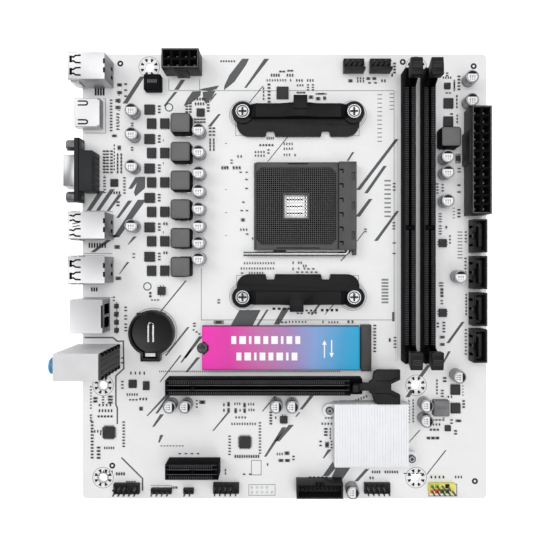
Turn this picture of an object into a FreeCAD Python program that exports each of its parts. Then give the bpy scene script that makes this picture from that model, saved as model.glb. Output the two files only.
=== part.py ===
import FreeCAD, Part
import Sketcher
import os
import re
from math import cos, pi, sin

from FreeCAD import Placement, Rotation, Vector

# A compact desktop motherboard, 200 x 220 mm, with its sockets, slots and connectors.
#
# Frame: +Z is up from the component side, +X runs from the rear connectors to the front
# edge, +Y towards the edge with the processor power plug. The origin is on the axis of the
# standoff hole in the rear lower corner, at the underside of the board.
#
# Places on the board are given as (from_rear, from_top): millimetres from the rear edge
# and from the upper edge, as a board drawing gives them.

SIZES = {
    # circuit board
    "board_width": 200.0,
    "board_depth": 220.0,
    "board_thickness": 1.6,
    "board_corner_radius": 2.5,
    "hole_inset_x": 10.16,
    "hole_inset_y": 10.45,
    "mount_hole_radius": 1.98,
    # processor socket
    "socket_from_rear": 105.6,
    "socket_from_top": 75.5,
    "socket_left": 20.6,
    "socket_right": 20.7,
    "socket_half_depth": 21.4,
    "socket_base_height": 2.2,
    "socket_cover_height": 2.0,
    "socket_window": 11.4,
    "pin_field_length": 39.2,
    "pin_field_depth": 38.0,
    "pin_field_recess": 0.4,
    "cam_box_right": 29.3,
    "cam_box_height": 6.4,
    "cam_axis_x": 25.4,
    "cam_axis_height": 3.4,
    "cam_cavity_radius": 2.2,
    "cam_cavity_length": 12.0,
    "lever_wire_radius": 1.1,
    "lever_clearance": 0.06,
    "lever_arm_y": 23.4,
    "lever_bend_radius": 1.8,
    "lever_handle_x": 25.7,
    "cam_lobe_radius": 1.45,
    "cam_lobe_offset": 0.5,
    "cam_lobe_length": 10.0,
    # cooler brackets, their screws and the plate behind the board
    "cooler_span_x": 54.0,
    "cooler_span_y": 90.0,
    "bracket_half_length": 30.1,
    "bracket_flange_depth": 11.1,
    "bracket_flange_height": 3.0,
    "bracket_corner": 6.0,
    "bracket_ear_radius": 5.3,
    "bracket_ear_height": 5.0,
    "bracket_bar_height": 8.0,
    "bracket_hump_height": 10.0,
    "bracket_lug_height": 11.0,
    "bracket_notch": 3.6,
    "bracket_notch_spacing": 27.2,
    "screw_hole_radius": 1.8,
    "screw_head_radius": 3.4,
    "screw_head_height": 2.5,
    "screw_shank_radius": 1.7,
    "backplate_thickness": 2.0,
    "backplate_sleeve_radius": 2.8,
    "sleeve_hole_radius": 3.0,
    # memory slots and their latches
    "dimm_length": 141.6,
    "dimm_width": 5.5,
    "dimm_height": 9.0,
    "dimm_tower_height": 13.0,
    "dimm_tower_length": 8.4,
    "dimm_tower_gap": 3.6,
    "dimm_channel": 1.6,
    "dimm_channel_floor": 2.5,
    "dimm_module_length": 133.8,
    "dimm_key": 1.5,
    "dimm_key_offset": 5.6,
    "latch_pivot_inset": 3.0,
    "latch_pivot_height": 4.5,
    "latch_pin_radius": 1.1,
    "latch_pin_length": 4.7,
    "latch_width": 3.4,
    "latch_pad_width": 5.3,
    "latch_clearance": 0.06,
    # expansion slots
    "pcie_width": 7.4,
    "pcie_height": 11.25,
    "pcie_channel": 1.9,
    "pcie_channel_floor": 3.0,
    "pcie_x16_length": 88.5,
    "pcie_x1_length": 25.4,
    "pcie_key_offset": 13.2,
    "pcie_key": 1.6,
    "pcie_ear_length": 6.0,
    "pcie_ear_height": 8.0,
    "pcie_ear_gap": 3.6,
    # storage card and its connector
    "card_length": 80.0,
    "card_width": 22.0,
    "card_thickness": 0.8,
    "card_height": 2.4,
    "card_chip_height": 1.2,
    "card_label_thickness": 0.15,
    "card_connector_height": 4.2,
    # chipset cooler
    "heatsink_length": 35.6,
    "heatsink_depth": 30.2,
    "heatsink_base": 4.8,
    "heatsink_lift": 1.2,
    "heatsink_height": 7.5,
    "heatsink_fin": 0.85,
    "heatsink_fin_count": 28.0,
    "heatsink_ear_radius": 3.2,
    # coin cell holder
    "cell_holder_radius": 11.1,
    "cell_radius": 10.1,
    "cell_holder_height": 5.2,
    "cell_holder_floor": 1.0,
    # small repeated parts
    "capacitor_radius": 3.15,
    "capacitor_height": 8.0,
    "capacitor_bead": 0.25,
    "choke_side": 9.8,
    "choke_height": 9.0,
    "pin_side": 0.64,
    "pin_tail": 1.8,
    "pin_pitch": 2.54,
    "power_pitch": 4.2,
    "power_height": 12.8,
    "shell_wall": 0.4,
    "usb_length": 17.3,
    "usb_width": 12.6,
    "usb_height": 15.7,
}

ALIAS = re.compile(r"[a-z][a-z_0-9]*")

os.makedirs("parts", exist_ok=True)
doc = FreeCAD.newDocument("motherboard")
sheet = doc.addObject("Spreadsheet::Sheet", "Sizes")
for row, (name, value) in enumerate(SIZES.items(), start=1):
    sheet.set(f"A{row}", name)
    sheet.set(f"B{row}", str(value))
    sheet.setAlias(f"B{row}", name)
doc.recompute()

nodes = {}


def size(name):
    """Value of one cell of the sheet."""
    return float(sheet.get(name))


def sized(formula):
    """Formula with every cell name pointing at the sheet."""
    return ALIAS.sub(lambda word: "Sizes." + word[0] if word[0] in SIZES else word[0], formula)


def on_board(from_rear, from_top, height=0.0):
    """Point above the component side, from the board's rear and upper edges."""
    x = from_rear - size("hole_inset_x")
    y = size("board_depth") - size("hole_inset_y") - from_top
    return Vector(x, y, size("board_thickness") + height)


def keep(label, thing):
    """Register a finished object as the node of that name."""
    thing.Label = label
    nodes[label] = thing
    return thing


# ---------------------------------------------------------------- PartDesign helpers

def new_body(label, place=Vector(), turn=0.0):
    body = doc.addObject("PartDesign::Body", label)
    body.Placement = Placement(place, Rotation(Vector(0, 0, 1), turn))
    return keep(label, body)


def new_sketch(body, role="XY_Plane", offset="0"):
    """Sketch on one of the body's origin planes, moved along the plane's normal."""
    plane = next(item for item in body.Origin.OriginFeatures if item.Role == role)
    sketch = body.newObject("Sketcher::SketchObject", "Sketch")
    sketch.AttachmentSupport = [(plane, "")]
    sketch.MapMode = "FlatFace"
    sketch.setExpression("AttachmentOffset.Base.z", sized(offset))
    return sketch


def dimension(sketch, kind, element, point, formula, guess):
    """Dimension from the sketch's origin to a point, driven by a formula."""
    number = sketch.addConstraint(Sketcher.Constraint(kind, -1, 1, element, point, guess))
    sketch.setExpression(f"Constraints[{number}]", sized(formula))


def outline(sketch, points):
    """Closed outline of straight edges; every point is a pair of formulas."""
    count = len(points)
    first = sketch.GeometryCount
    rough = [Vector(cos(2 * pi * k / count), sin(2 * pi * k / count), 0) for k in range(count)]
    for k in range(count):
        sketch.addGeometry(Part.LineSegment(rough[k], rough[(k + 1) % count]))
    for k in range(count):
        following = first + (k + 1) % count
        sketch.addConstraint(Sketcher.Constraint("Coincident", first + k, 2, following, 1))
    for k, (x, y) in enumerate(points):
        dimension(sketch, "DistanceX", first + k, 1, x, rough[k].x)
        dimension(sketch, "DistanceY", first + k, 1, y, rough[k].y)


def rectangle(sketch, left, bottom, right, top):
    outline(sketch, [(left, bottom), (right, bottom), (right, top), (left, top)])


def circle(sketch, x, y, radius):
    """Circle with its centre and radius driven by formulas."""
    number = sketch.addGeometry(Part.Circle(Vector(0.5, 0.5, 0), Vector(0, 0, 1), 1.0))
    dimension(sketch, "DistanceX", number, 3, x, 0.5)
    dimension(sketch, "DistanceY", number, 3, y, 0.5)
    held = sketch.addConstraint(Sketcher.Constraint("Radius", number, 1.0))
    sketch.setExpression(f"Constraints[{held}]", sized(radius))


def pad(body, sketch, length, back=False):
    feature = body.newObject("PartDesign::Pad", "Pad")
    feature.Profile = sketch
    feature.Reversed = back
    feature.setExpression("Length", sized(length))
    doc.recompute()
    return feature


def pocket(body, sketch, depth=None, back=False):
    """Pocket against the sketch's normal; without a depth it goes right through."""
    before = body.Shape.Volume
    feature = body.newObject("PartDesign::Pocket", "Pocket")
    feature.Profile = sketch
    feature.Reversed = back
    if depth is None:
        feature.Type = "ThroughAll"
    else:
        feature.setExpression("Length", sized(depth))
    doc.recompute()
    if body.Shape.Volume > before - 1e-3:
        raise RuntimeError(f"{body.Label}: a pocket cuts nothing")
    return feature


def round_uprights(body, feature, radius, chosen=lambda edge: True):
    """Fillet the vertical edges of a feature that a test picks."""
    names = []
    for number, edge in enumerate(feature.Shape.Edges, start=1):
        box = edge.BoundBox
        if box.XLength < 1e-6 and box.YLength < 1e-6 and chosen(edge):
            names.append(f"Edge{number}")
    fillet = body.newObject("PartDesign::Fillet", "Fillet")
    fillet.Base = (feature, names)
    fillet.setExpression("Radius", sized(radius))
    doc.recompute()
    return fillet


# ------------------------------------------------------------------- Part helpers

def block(length, width, height, x="0", y="0", z="0"):
    """Part::Box standing at height z and centred on (x, y), all formulas."""
    box = doc.addObject("Part::Box", "Block")
    for name, formula in (
            ("Length", length), ("Width", width), ("Height", height),
            ("Placement.Base.x", f"{x} - ({length}) / 2"),
            ("Placement.Base.y", f"{y} - ({width}) / 2"),
            ("Placement.Base.z", z)):
        box.setExpression(name, sized(formula))
    return box


def cylinder(radius, height, x="0", y="0", z="0"):
    """Upright Part::Cylinder standing at height z, all formulas."""
    rod = doc.addObject("Part::Cylinder", "Rod")
    for name, formula in (
            ("Radius", radius), ("Height", height), ("Placement.Base.x", x),
            ("Placement.Base.y", y), ("Placement.Base.z", z)):
        rod.setExpression(name, sized(formula))
    return rod


def cut(base, *tools):
    """Part::Cut of one object by one or more others."""
    tool = tools[0]
    if len(tools) > 1:
        tool = join(*tools)
    result = doc.addObject("Part::Cut", "Cut")
    result.Base = base
    result.Tool = tool
    return result


def join(*things):
    result = doc.addObject("Part::MultiFuse", "Join")
    result.Shapes = list(things)
    result.Refine = True
    return result


def placed(label, thing, place, turn=0.0):
    """Finished boolean, moved to its place and registered."""
    thing.Placement = Placement(place, Rotation(Vector(0, 0, 1), turn))
    doc.recompute()
    return keep(label, thing)


def group(label, solids):
    """Node made of several separate solids."""
    feature = doc.addObject("Part::Feature", label)
    feature.Shape = Part.makeCompound(solids)
    return keep(label, feature)


def brick(length, width, height, place):
    """Plain solid box centred over a point."""
    return Part.makeBox(length, width, height, place - Vector(length / 2, width / 2, 0))


def copies(master, places, turn=0.0):
    """The solid of a master object, repeated at several points."""
    doc.recompute()
    result = []
    for place in places:
        solid = master.Shape.copy()
        moved = Placement(place, Rotation(Vector(0, 0, 1), turn))
        solid.Placement = moved.multiply(solid.Placement)
        result.append(solid)
    return result


# ------------------------------------------------------------------ where pins stand

def pin_block(from_rear, from_top, columns, rows, pitch, missing=()):
    """Centres of a block of pins around a point, as distances from the two edges."""
    centres = []
    for row in range(rows):
        for column in range(columns):
            if (column, row) not in missing:
                x = from_rear + (column - (columns - 1) / 2) * pitch
                y = from_top + (row - (rows - 1) / 2) * pitch
                centres.append((x, y))
    return centres


CAPACITORS = (
    [(25.8, top) for top in (29.3, 40.9, 56.4, 85.3)]
    + [(58.3, top) for top in (39.0, 49.5, 59.6, 68.4, 77.0, 85.3, 93.5, 101.3)]
    + [(190.6, 13.3), (190.6, 24.4), (178.8, 51.8), (178.8, 59.3), (178.8, 73.1), (185.0, 110.0)]
    + [(184.5, 158.5), (168.7, 172.4), (168.7, 179.8), (133.0, 214.3)]
    + [(44.3, 172.9), (51.8, 172.9), (95.9, 172.9), (103.7, 172.9)]
)
VRM_CHOKES = [(49.8, 35.8 + 13.88 * k) for k in range(6)] + [(180.2, 42.4)]
USB_STACKS = {"usb2_upper": 10.6, "usb3": 85.6, "usb2_lower": 106.6}
SATA_PORTS = [90.2, 107.9, 125.7, 143.4]
FAN_HEADERS = [(134.0, 6.4), (147.0, 6.4)]
EPS_PLACE = (50.3, 6.1)
ATX_PLACE = (193.5, 54.3)
AUDIO_HEADER = (22.2, 214.4)
USB_HEADER_LEFT = (71.2, 214.2)
USB_HEADER_RIGHT = (145.6, 214.2)
DIGITAL_AUDIO_HEADER = (39.3, 215.6)
SHORT_HEADER = (52.7, 215.6)
PANEL_HEADER = (177.4, 214.2)
USB3_HEADER = (116.9, 213.0)

header_pins = (
    pin_block(*AUDIO_HEADER, 5, 2, 2.54, missing=[(3, 0)])
    + pin_block(*USB_HEADER_LEFT, 5, 2, 2.54, missing=[(4, 0)])
    + pin_block(*USB_HEADER_RIGHT, 5, 2, 2.54, missing=[(4, 0)])
    + pin_block(*DIGITAL_AUDIO_HEADER, 4, 1, 2.54)
    + pin_block(*SHORT_HEADER, 2, 1, 2.54)
    + pin_block(*PANEL_HEADER, 5, 2, 2.54, missing=[(4, 0)])
)
box_header_pins = pin_block(*USB3_HEADER, 10, 2, 2.0, missing=[(0, 0)])
fan_pins = [spot for place in FAN_HEADERS for spot in pin_block(*place, 4, 1, 2.54)]
power_pins = pin_block(*EPS_PLACE, 4, 2, 4.2) + pin_block(*ATX_PLACE, 2, 12, 4.2)
sata_pins = [(194.2, top + 1.27 * k) for top in SATA_PORTS for k in range(-3, 4)]
tails = (
    [(x + side, y) for x, y in CAPACITORS for side in (-1.25, 1.25)]
    + [(9.0 + 2.5 * row, top + 2.3 * k) for top in USB_STACKS.values()
       for row in (0, 2) for k in (-1.5, -0.5, 0.5, 1.5)]
    + [(1.5, 24.8), (1.5, 36.0), (8.0, 24.8), (8.0, 36.0)]
    + [(8.2 + 2.5 * row, 58.1 + 2.3 * k) for row in (0, 1) for k in range(-3, 4)]
    + [(9.6 + 2.54 * (k % 2), 124.2 + 1.27 * k) for k in range(8)]
    + [(4.0 + 5.0 * row, 149.5 + side) for row in range(3) for side in (-3.0, 3.0)]
)
SEAT_PEGS = [(122.0, 175.6), (162.2, 199.1)]


# ----------------------------------------------------------------- the circuit board

def build_board():
    """Fibre board with its standoff, cooler and pin holes."""
    body = new_body("pcb", Vector(-size("hole_inset_x"), -size("hole_inset_y"), 0))
    edge = new_sketch(body)
    rectangle(edge, "0", "0", "board_width", "board_depth")
    plate = pad(body, edge, "board_thickness")
    round_uprights(body, plate, "board_corner_radius")

    standoffs = new_sketch(body, offset="board_thickness")
    for from_rear, from_top in STANDOFF_HOLES:
        circle(standoffs, str(from_rear), f"board_depth - {from_top}", "mount_hole_radius")
    pocket(body, standoffs)

    sleeves = new_sketch(body, offset="board_thickness")
    for side in (-0.5, 0.5):
        for end in (-0.5, 0.5):
            circle(sleeves, f"{COOLER_CENTRE[0]} + {side} * cooler_span_x",
                   f"board_depth - {COOLER_CENTRE[1]} + {end} * cooler_span_y",
                   "sleeve_hole_radius")
    pocket(body, sleeves)

    drilled = new_sketch(body, offset="board_thickness")
    for spots, radius in ((header_pins + fan_pins + box_header_pins + tails, 0.5),
                          (power_pins, 0.8), (sata_pins, 0.4), (SEAT_PEGS, 1.3)):
        for from_rear, from_top in spots:
            centre = Vector(from_rear, size("board_depth") - from_top, 0)
            drilled.addGeometry(Part.Circle(centre, Vector(0, 0, 1), radius))
    pocket(body, drilled)


STANDOFF_HOLES = [(33.02, 6.35), (165.1, 6.35), (10.16, 163.83), (165.1, 163.83),
                  (10.16, 209.55), (165.1, 209.55)]
COOLER_CENTRE = (106.6, 74.9)


# ------------------------------------------------------------------ processor socket

def build_socket_base():
    """Base with the cam box along its front side and a window in the middle."""
    body = new_body("socket_base", on_board(size("socket_from_rear"), size("socket_from_top")))
    floor = new_sketch(body)
    rectangle(floor, "-socket_left", "-socket_half_depth", "cam_box_right", "socket_half_depth")
    pad(body, floor, "socket_base_height")
    box = new_sketch(body)
    rectangle(box, "socket_right", "-socket_half_depth", "cam_box_right", "socket_half_depth")
    pad(body, box, "cam_box_height")
    guard = new_sketch(body)
    rectangle(guard, "cam_axis_x + 2.4", "-socket_half_depth - 2.6", "cam_box_right",
              "-socket_half_depth + 1")
    pad(body, guard, "cam_box_height - 0.6")
    catch = new_sketch(body)
    rectangle(catch, "-11", "-socket_half_depth - 1.6", "-5", "-socket_half_depth + 1")
    pad(body, catch, "socket_base_height - 0.4")

    window = new_sketch(body, offset="socket_base_height")
    half = "socket_window / 2"
    rectangle(window, f"-{half}", f"-{half}", half, half)
    pocket(body, window)
    bore = new_sketch(body, "XZ_Plane", "socket_half_depth")
    circle(bore, "cam_axis_x", "cam_axis_height", "lever_wire_radius + lever_clearance")
    pocket(body, bore, "2 * socket_half_depth - 3")
    cavity = new_sketch(body, "XZ_Plane", "cam_cavity_length / 2")
    circle(cavity, "cam_axis_x", "cam_axis_height", "cam_cavity_radius")
    pocket(body, cavity, "cam_cavity_length")
    slots = new_sketch(body, offset="cam_box_height")
    for k in (-1, 0, 1):
        rectangle(slots, "cam_box_right - 2.4", f"{k} * 14.4 - 1.9", "cam_box_right - 0.9",
                  f"{k} * 14.4 + 1.9")
    pocket(body, slots, "1.2")


def build_socket_cover():
    """Sliding cover with the recessed pin field and the same window."""
    body = new_body("socket_cover", on_board(size("socket_from_rear"), size("socket_from_top")))
    plate = new_sketch(body, offset="socket_base_height")
    rectangle(plate, "-socket_left + 1.2", "-socket_half_depth", "socket_right - 0.1",
              "socket_half_depth")
    pad(body, plate, "socket_cover_height")
    field = new_sketch(body, offset="socket_base_height + socket_cover_height")
    x = "pin_field_length / 2"
    y = "pin_field_depth / 2"
    corner = 2.6
    outline(field, [(f"-{x} + {corner}", f"-{y}"), (f"{x} - {corner}", f"-{y}"),
                    (x, f"-{y} + {corner}"), (x, f"{y} - {corner}"), (f"{x} - {corner}", y),
                    (f"-{x} + {corner}", y), (f"-{x}", f"{y} - {corner}"),
                    (f"-{x}", f"-{y} + {corner}")])
    pocket(body, field, "pin_field_recess")
    window = new_sketch(body, offset="socket_base_height + socket_cover_height")
    half = "socket_window / 2"
    rectangle(window, f"-{half}", f"-{half}", half, half)
    pocket(body, window)


def build_socket_lever():
    """Bent wire lever: cam shaft, elbow, arm and a turned-out handle."""
    body = new_body("socket_lever", on_board(size("socket_from_rear"), size("socket_from_top")))
    axis = size("cam_axis_x")
    arm = -size("lever_arm_y")
    bend = size("lever_bend_radius")
    handle = -size("lever_handle_x")
    inner = size("socket_half_depth") - 3.5
    turn = cos(pi / 4) * bend
    path = new_sketch(body, offset="cam_axis_height")
    path.addGeometry(Part.LineSegment(Vector(axis, inner, 0), Vector(axis, arm + bend, 0)))
    path.addGeometry(Part.Arc(Vector(axis, arm + bend, 0),
                              Vector(axis - bend + turn, arm + bend - turn, 0),
                              Vector(axis - bend, arm, 0)))
    path.addGeometry(Part.LineSegment(Vector(axis - bend, arm, 0), Vector(handle, arm, 0)))
    profile = new_sketch(body, "XZ_Plane", "3.5 - socket_half_depth")
    circle(profile, "cam_axis_x", "cam_axis_height", "lever_wire_radius")
    sweep = body.newObject("PartDesign::AdditivePipe", "Sweep")
    sweep.Profile = profile
    sweep.Spine = path
    doc.recompute()
    lobe = new_sketch(body, "XZ_Plane", "-cam_lobe_length / 2")
    circle(lobe, "cam_axis_x + cam_lobe_offset", "cam_axis_height", "cam_lobe_radius")
    pad(body, lobe, "cam_lobe_length")


# --------------------------------------------------------- cooler brackets and plate

def build_cooler_bracket(label, end, turn):
    """Moulded bracket: a low flange, two screw ears and a raised bar with a clip lug."""
    centre = on_board(COOLER_CENTRE[0], COOLER_CENTRE[1])
    centre.y += end * size("cooler_span_y") / 2
    body = new_body(label, centre, turn)
    flange = new_sketch(body)
    rectangle(flange, "-bracket_half_length", "-bracket_flange_depth", "bracket_half_length", "0")
    low = pad(body, flange, "bracket_flange_height")
    round_uprights(body, low, "bracket_corner", lambda edge: edge.BoundBox.YMax < -1)
    ears = new_sketch(body)
    circle(ears, "-cooler_span_x / 2", "0", "bracket_ear_radius")
    circle(ears, "cooler_span_x / 2", "0", "bracket_ear_radius")
    pad(body, ears, "bracket_ear_height")
    bar = new_sketch(body, "XZ_Plane", "-3.6")
    outline(bar, [("-24.2", "0"), ("24.2", "0"), ("24.2", "bracket_ear_height"),
                  ("20.5", "bracket_bar_height"), ("9.8", "bracket_bar_height"),
                  ("4.2", "bracket_hump_height"), ("-2.4", "bracket_hump_height"),
                  ("-8.5", "bracket_bar_height"), ("-20.5", "bracket_bar_height"),
                  ("-24.2", "bracket_ear_height")])
    pad(body, bar, "6.5")
    lug = new_sketch(body, "YZ_Plane", "-2.4")
    outline(lug, [("0.4", "0"), ("5.2", "0"), ("5.2", "bracket_lug_height - 3.5"),
                  ("6.8", "bracket_lug_height - 2.2"), ("6.8", "bracket_lug_height"),
                  ("0.4", "bracket_lug_height")])
    pad(body, lug, "6.6")

    heads = new_sketch(body, offset="bracket_lug_height")
    circle(heads, "-cooler_span_x / 2", "0", "screw_head_radius + 0.35")
    circle(heads, "cooler_span_x / 2", "0", "screw_head_radius + 0.35")
    pocket(body, heads, "bracket_lug_height - bracket_ear_height")
    holes = new_sketch(body, offset="bracket_ear_height")
    circle(holes, "-cooler_span_x / 2", "0", "screw_hole_radius")
    circle(holes, "cooler_span_x / 2", "0", "screw_hole_radius")
    pocket(body, holes)
    notches = new_sketch(body, offset="bracket_flange_height")
    for side in (-0.5, 0.5):
        middle = f"{side} * bracket_notch_spacing"
        outline(notches, [(f"{middle} - bracket_notch / 2 - 0.9", "-bracket_flange_depth - 1"),
                          (f"{middle} + bracket_notch / 2 + 0.9", "-bracket_flange_depth - 1"),
                          (f"{middle} + bracket_notch / 2", "-bracket_flange_depth + 2.6"),
                          (f"{middle} - bracket_notch / 2", "-bracket_flange_depth + 2.6")])
    pocket(body, notches)


def build_backplate():
    """Steel plate under the socket with four threaded sleeves through the board."""
    body = new_body("cooler_backplate", on_board(*COOLER_CENTRE) - Vector(0, 0, size("board_thickness")))
    x = "cooler_span_x / 2"
    y = "cooler_span_y / 2"
    plate = new_sketch(body, offset="-backplate_thickness")
    outline(plate, [(f"-{x} - 5", f"-{y} - 5"), (f"{x} + 5", f"-{y} - 5"), (f"{x} + 5", f"-{y} + 9"),
                    (f"{x} - 3", f"-{y} + 17"), (f"{x} - 3", f"{y} - 17"), (f"{x} + 5", f"{y} - 9"),
                    (f"{x} + 5", f"{y} + 5"), (f"-{x} - 5", f"{y} + 5"), (f"-{x} - 5", f"{y} - 9"),
                    (f"-{x} + 3", f"{y} - 17"), (f"-{x} + 3", f"-{y} + 17"),
                    (f"-{x} - 5", f"-{y} + 9")])
    slab = pad(body, plate, "backplate_thickness")
    round_uprights(body, slab, "2.5")
    sleeves = new_sketch(body, offset="-backplate_thickness")
    threads = new_sketch(body, offset="board_thickness")
    for side in ("-", ""):
        for end in ("-", ""):
            circle(sleeves, side + x, end + y, "backplate_sleeve_radius")
            circle(threads, side + x, end + y, "screw_shank_radius + 0.05")
    pad(body, sleeves, "backplate_thickness + board_thickness")
    pocket(body, threads)
    window = new_sketch(body)
    circle(window, "0", "0", "9")
    pocket(body, window)


def build_bracket_screws():
    """Four pan-head screws, one in each bracket ear."""
    screw = doc.addObject("PartDesign::Body", "ScrewMaster")
    head = new_sketch(screw, offset="bracket_ear_height")
    circle(head, "0", "0", "screw_head_radius")
    pad(screw, head, "screw_head_height")
    shank = new_sketch(screw, offset="-board_thickness - 1")
    circle(shank, "0", "0", "screw_shank_radius")
    pad(screw, shank, "bracket_ear_height + board_thickness + 1.5")
    cross = new_sketch(screw, offset="bracket_ear_height + screw_head_height")
    outline(cross, [("-1.9", "-0.4"), ("-0.4", "-0.4"), ("-0.4", "-1.9"), ("0.4", "-1.9"),
                    ("0.4", "-0.4"), ("1.9", "-0.4"), ("1.9", "0.4"), ("0.4", "0.4"),
                    ("0.4", "1.9"), ("-0.4", "1.9"), ("-0.4", "0.4"), ("-1.9", "0.4")])
    pocket(screw, cross, "1.4")
    centre = on_board(*COOLER_CENTRE)
    places = [centre + Vector(side * size("cooler_span_x") / 2, end * size("cooler_span_y") / 2, 0)
              for side in (-1, 1) for end in (-1, 1)]
    group("bracket_screws", copies(screw, places))


# --------------------------------------------------------------------- memory slots

DIMM_CENTRE_FROM_TOP = 80.8


def build_dimm_slot(label, from_rear):
    """Slot housing with a channel, a key and a forked tower at each end."""
    body = new_body(label, on_board(from_rear, DIMM_CENTRE_FROM_TOP))
    wide = "dimm_width / 2"
    half = "dimm_length / 2"
    gap = "dimm_tower_gap / 2"
    housing = new_sketch(body)
    rectangle(housing, f"-{wide}", f"-{half}", wide, half)
    pad(body, housing, "dimm_height")
    for end in ("", "-"):
        tower = new_sketch(body, "YZ_Plane", f"-{wide}")
        outline(tower, [(f"{end}({half})", "dimm_height - 1"), (f"{end}({half})", "dimm_tower_height - 2"),
                        (f"{end}({half} - 1.5)", "dimm_tower_height"),
                        (f"{end}({half} - dimm_tower_length + 2.5)", "dimm_tower_height"),
                        (f"{end}({half} - dimm_tower_length)", "dimm_height - 1")])
        pad(body, tower, "dimm_width")
        mouth = new_sketch(body, offset="dimm_tower_height")
        rectangle(mouth, f"-{gap}", f"{end}({half} + 1)", gap, f"{end}({half} - 8)")
        pocket(body, mouth, "dimm_tower_height - 1")
        hinge = new_sketch(body, "YZ_Plane", "latch_pin_length / 2 + 0.05")
        circle(hinge, f"{end}({half} - latch_pivot_inset)", "latch_pivot_height",
               "latch_pin_radius + latch_clearance")
        pocket(body, hinge, "latch_pin_length + 0.1")
    upper = new_sketch(body, offset="dimm_tower_height")
    channel = "dimm_channel / 2"
    key = "dimm_key_offset"
    ends = "dimm_module_length / 2"
    rectangle(upper, f"-{channel}", f"-{ends}", channel, f"-{key} - dimm_key / 2")
    rectangle(upper, f"-{channel}", f"-{key} + dimm_key / 2", channel, ends)
    pocket(body, upper, "dimm_tower_height - dimm_channel_floor")


def build_dimm_latch(label, from_rear, end):
    """Ejector latch: hinge pin, foot, upright, hook and a wide thumb pad."""
    turn = 0 if end > 0 else 180
    pivot = on_board(from_rear, DIMM_CENTRE_FROM_TOP)
    pivot.y += end * (size("dimm_length") / 2 - size("latch_pivot_inset"))
    body = new_body(label, pivot, turn)
    hinge = "latch_pivot_height"
    blade = new_sketch(body, "YZ_Plane", "-latch_width / 2")
    outline(blade, [("-3.8", f"{hinge} - 2.2"), ("1.6", f"{hinge} - 2.2"), ("2.6", f"{hinge} - 1"),
                    ("2.6", "17"), ("3.3", "20.5"), ("3.3", "22.5"), ("-3.2", "22.5"), ("-2.6", "15.5"),
                    ("-0.8", "14.5"), ("-0.8", f"{hinge} + 0.5"), ("-3.8", f"{hinge} - 1.2")])
    pad(body, blade, "latch_width")
    thumb = new_sketch(body, "YZ_Plane", "-latch_pad_width / 2")
    outline(thumb, [("-4.2", "18"), ("1.6", "18"), ("3.8", "21.4"), ("3.8", "23"), ("-1.5", "24"),
                    ("-4.2", "24")])
    pad(body, thumb, "latch_pad_width")
    pin = new_sketch(body, "YZ_Plane", "-latch_pin_length / 2")
    circle(pin, "0", hinge, "latch_pin_radius")
    pad(body, pin, "latch_pin_length")


# ------------------------------------------------------------------- expansion slots

def build_pcie_slot(label, left, from_top, length, with_ears):
    """Card-edge slot with its key; the long one has two ears for its latch."""
    body = new_body(label, on_board(left, from_top))
    wide = "pcie_width / 2"
    channel = "pcie_channel / 2"
    housing = new_sketch(body)
    rectangle(housing, "0", f"-{wide}", length, wide)
    pad(body, housing, "pcie_height")
    if with_ears:
        ears = new_sketch(body)
        rectangle(ears, f"{length} - 1", f"-{wide}", f"{length} + pcie_ear_length", wide)
        pad(body, ears, "pcie_ear_height")
        gap = new_sketch(body, offset="pcie_ear_height")
        rectangle(gap, length, "-pcie_ear_gap / 2", f"{length} + pcie_ear_length + 1",
                  "pcie_ear_gap / 2")
        pocket(body, gap, "pcie_ear_height - 1")
        hinge = new_sketch(body, "XZ_Plane", "latch_pin_length / 2 + 0.05")
        circle(hinge, f"{length} + pcie_ear_length / 2", "latch_pivot_height",
               "latch_pin_radius + latch_clearance")
        pocket(body, hinge, "latch_pin_length + 0.1")
    slot = new_sketch(body, offset="pcie_height")
    rectangle(slot, "1.6", f"-{channel}", "pcie_key_offset - pcie_key / 2", channel)
    rectangle(slot, "pcie_key_offset + pcie_key / 2", f"-{channel}", f"{length} - 1.6", channel)
    pocket(body, slot, "pcie_height - pcie_channel_floor")


def build_pcie_latch():
    """Card latch of the long slot: hinge pin, hook and a wide forked paddle."""
    left = PCIE_LEFT + size("pcie_x16_length") + size("pcie_ear_length") / 2
    body = new_body("pcie_x16_latch", on_board(left, PCIE_X16_FROM_TOP))
    hinge = "latch_pivot_height"
    neck = new_sketch(body, "XZ_Plane", "-latch_width / 2")
    outline(neck, [("-1.6", f"{hinge} - 1.8"), ("1.6", f"{hinge} - 1.8"), ("5", "6"), ("9.5", "7"),
                   ("9.5", "9.6"), ("1.6", "9.6"), ("0.4", "13.4"), ("-2.2", "13.4"), ("-2.2", "12"),
                   ("-1.6", "10")])
    pad(body, neck, "latch_width")
    pin = new_sketch(body, "XZ_Plane", "-latch_pin_length / 2")
    circle(pin, "0", hinge, "latch_pin_radius")
    pad(body, pin, "latch_pin_length")
    paddle = new_sketch(body, offset="7")
    outline(paddle, [("6.2", "-2.6"), ("7.6", "-3.4"), ("8.6", "-7.4"), ("10.2", "-8.3"),
                     ("21", "-8.3"), ("21", "-3.6"), ("16.7", "-1.5"), ("16.7", "1.5"),
                     ("21", "3.6"), ("21", "8.3"), ("10.2", "8.3"), ("8.6", "7.4"),
                     ("7.6", "3.4"), ("6.2", "2.6")])
    pad(body, paddle, "2.6")


PCIE_LEFT = 42.9
PCIE_X16_FROM_TOP = 162.9
PCIE_X1_FROM_TOP = 203.1


# ------------------------------------------------------------------ storage card set

CARD_SCREW = (59.7, 144.9)


def build_card_connector():
    """Low connector whose mouth takes the card's edge."""
    length = 5.0
    wide = 22.6
    left = CARD_SCREW[0] + size("card_length") - 2.3
    housing = block(str(length), str(wide), "card_connector_height", x=str(length / 2))
    mouth = block("2.4", "20.4", "card_thickness + 0.1", x="1.1", z="card_height - 0.05")
    placed("m2_connector", cut(housing, mouth), on_board(left, CARD_SCREW[1]))


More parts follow.
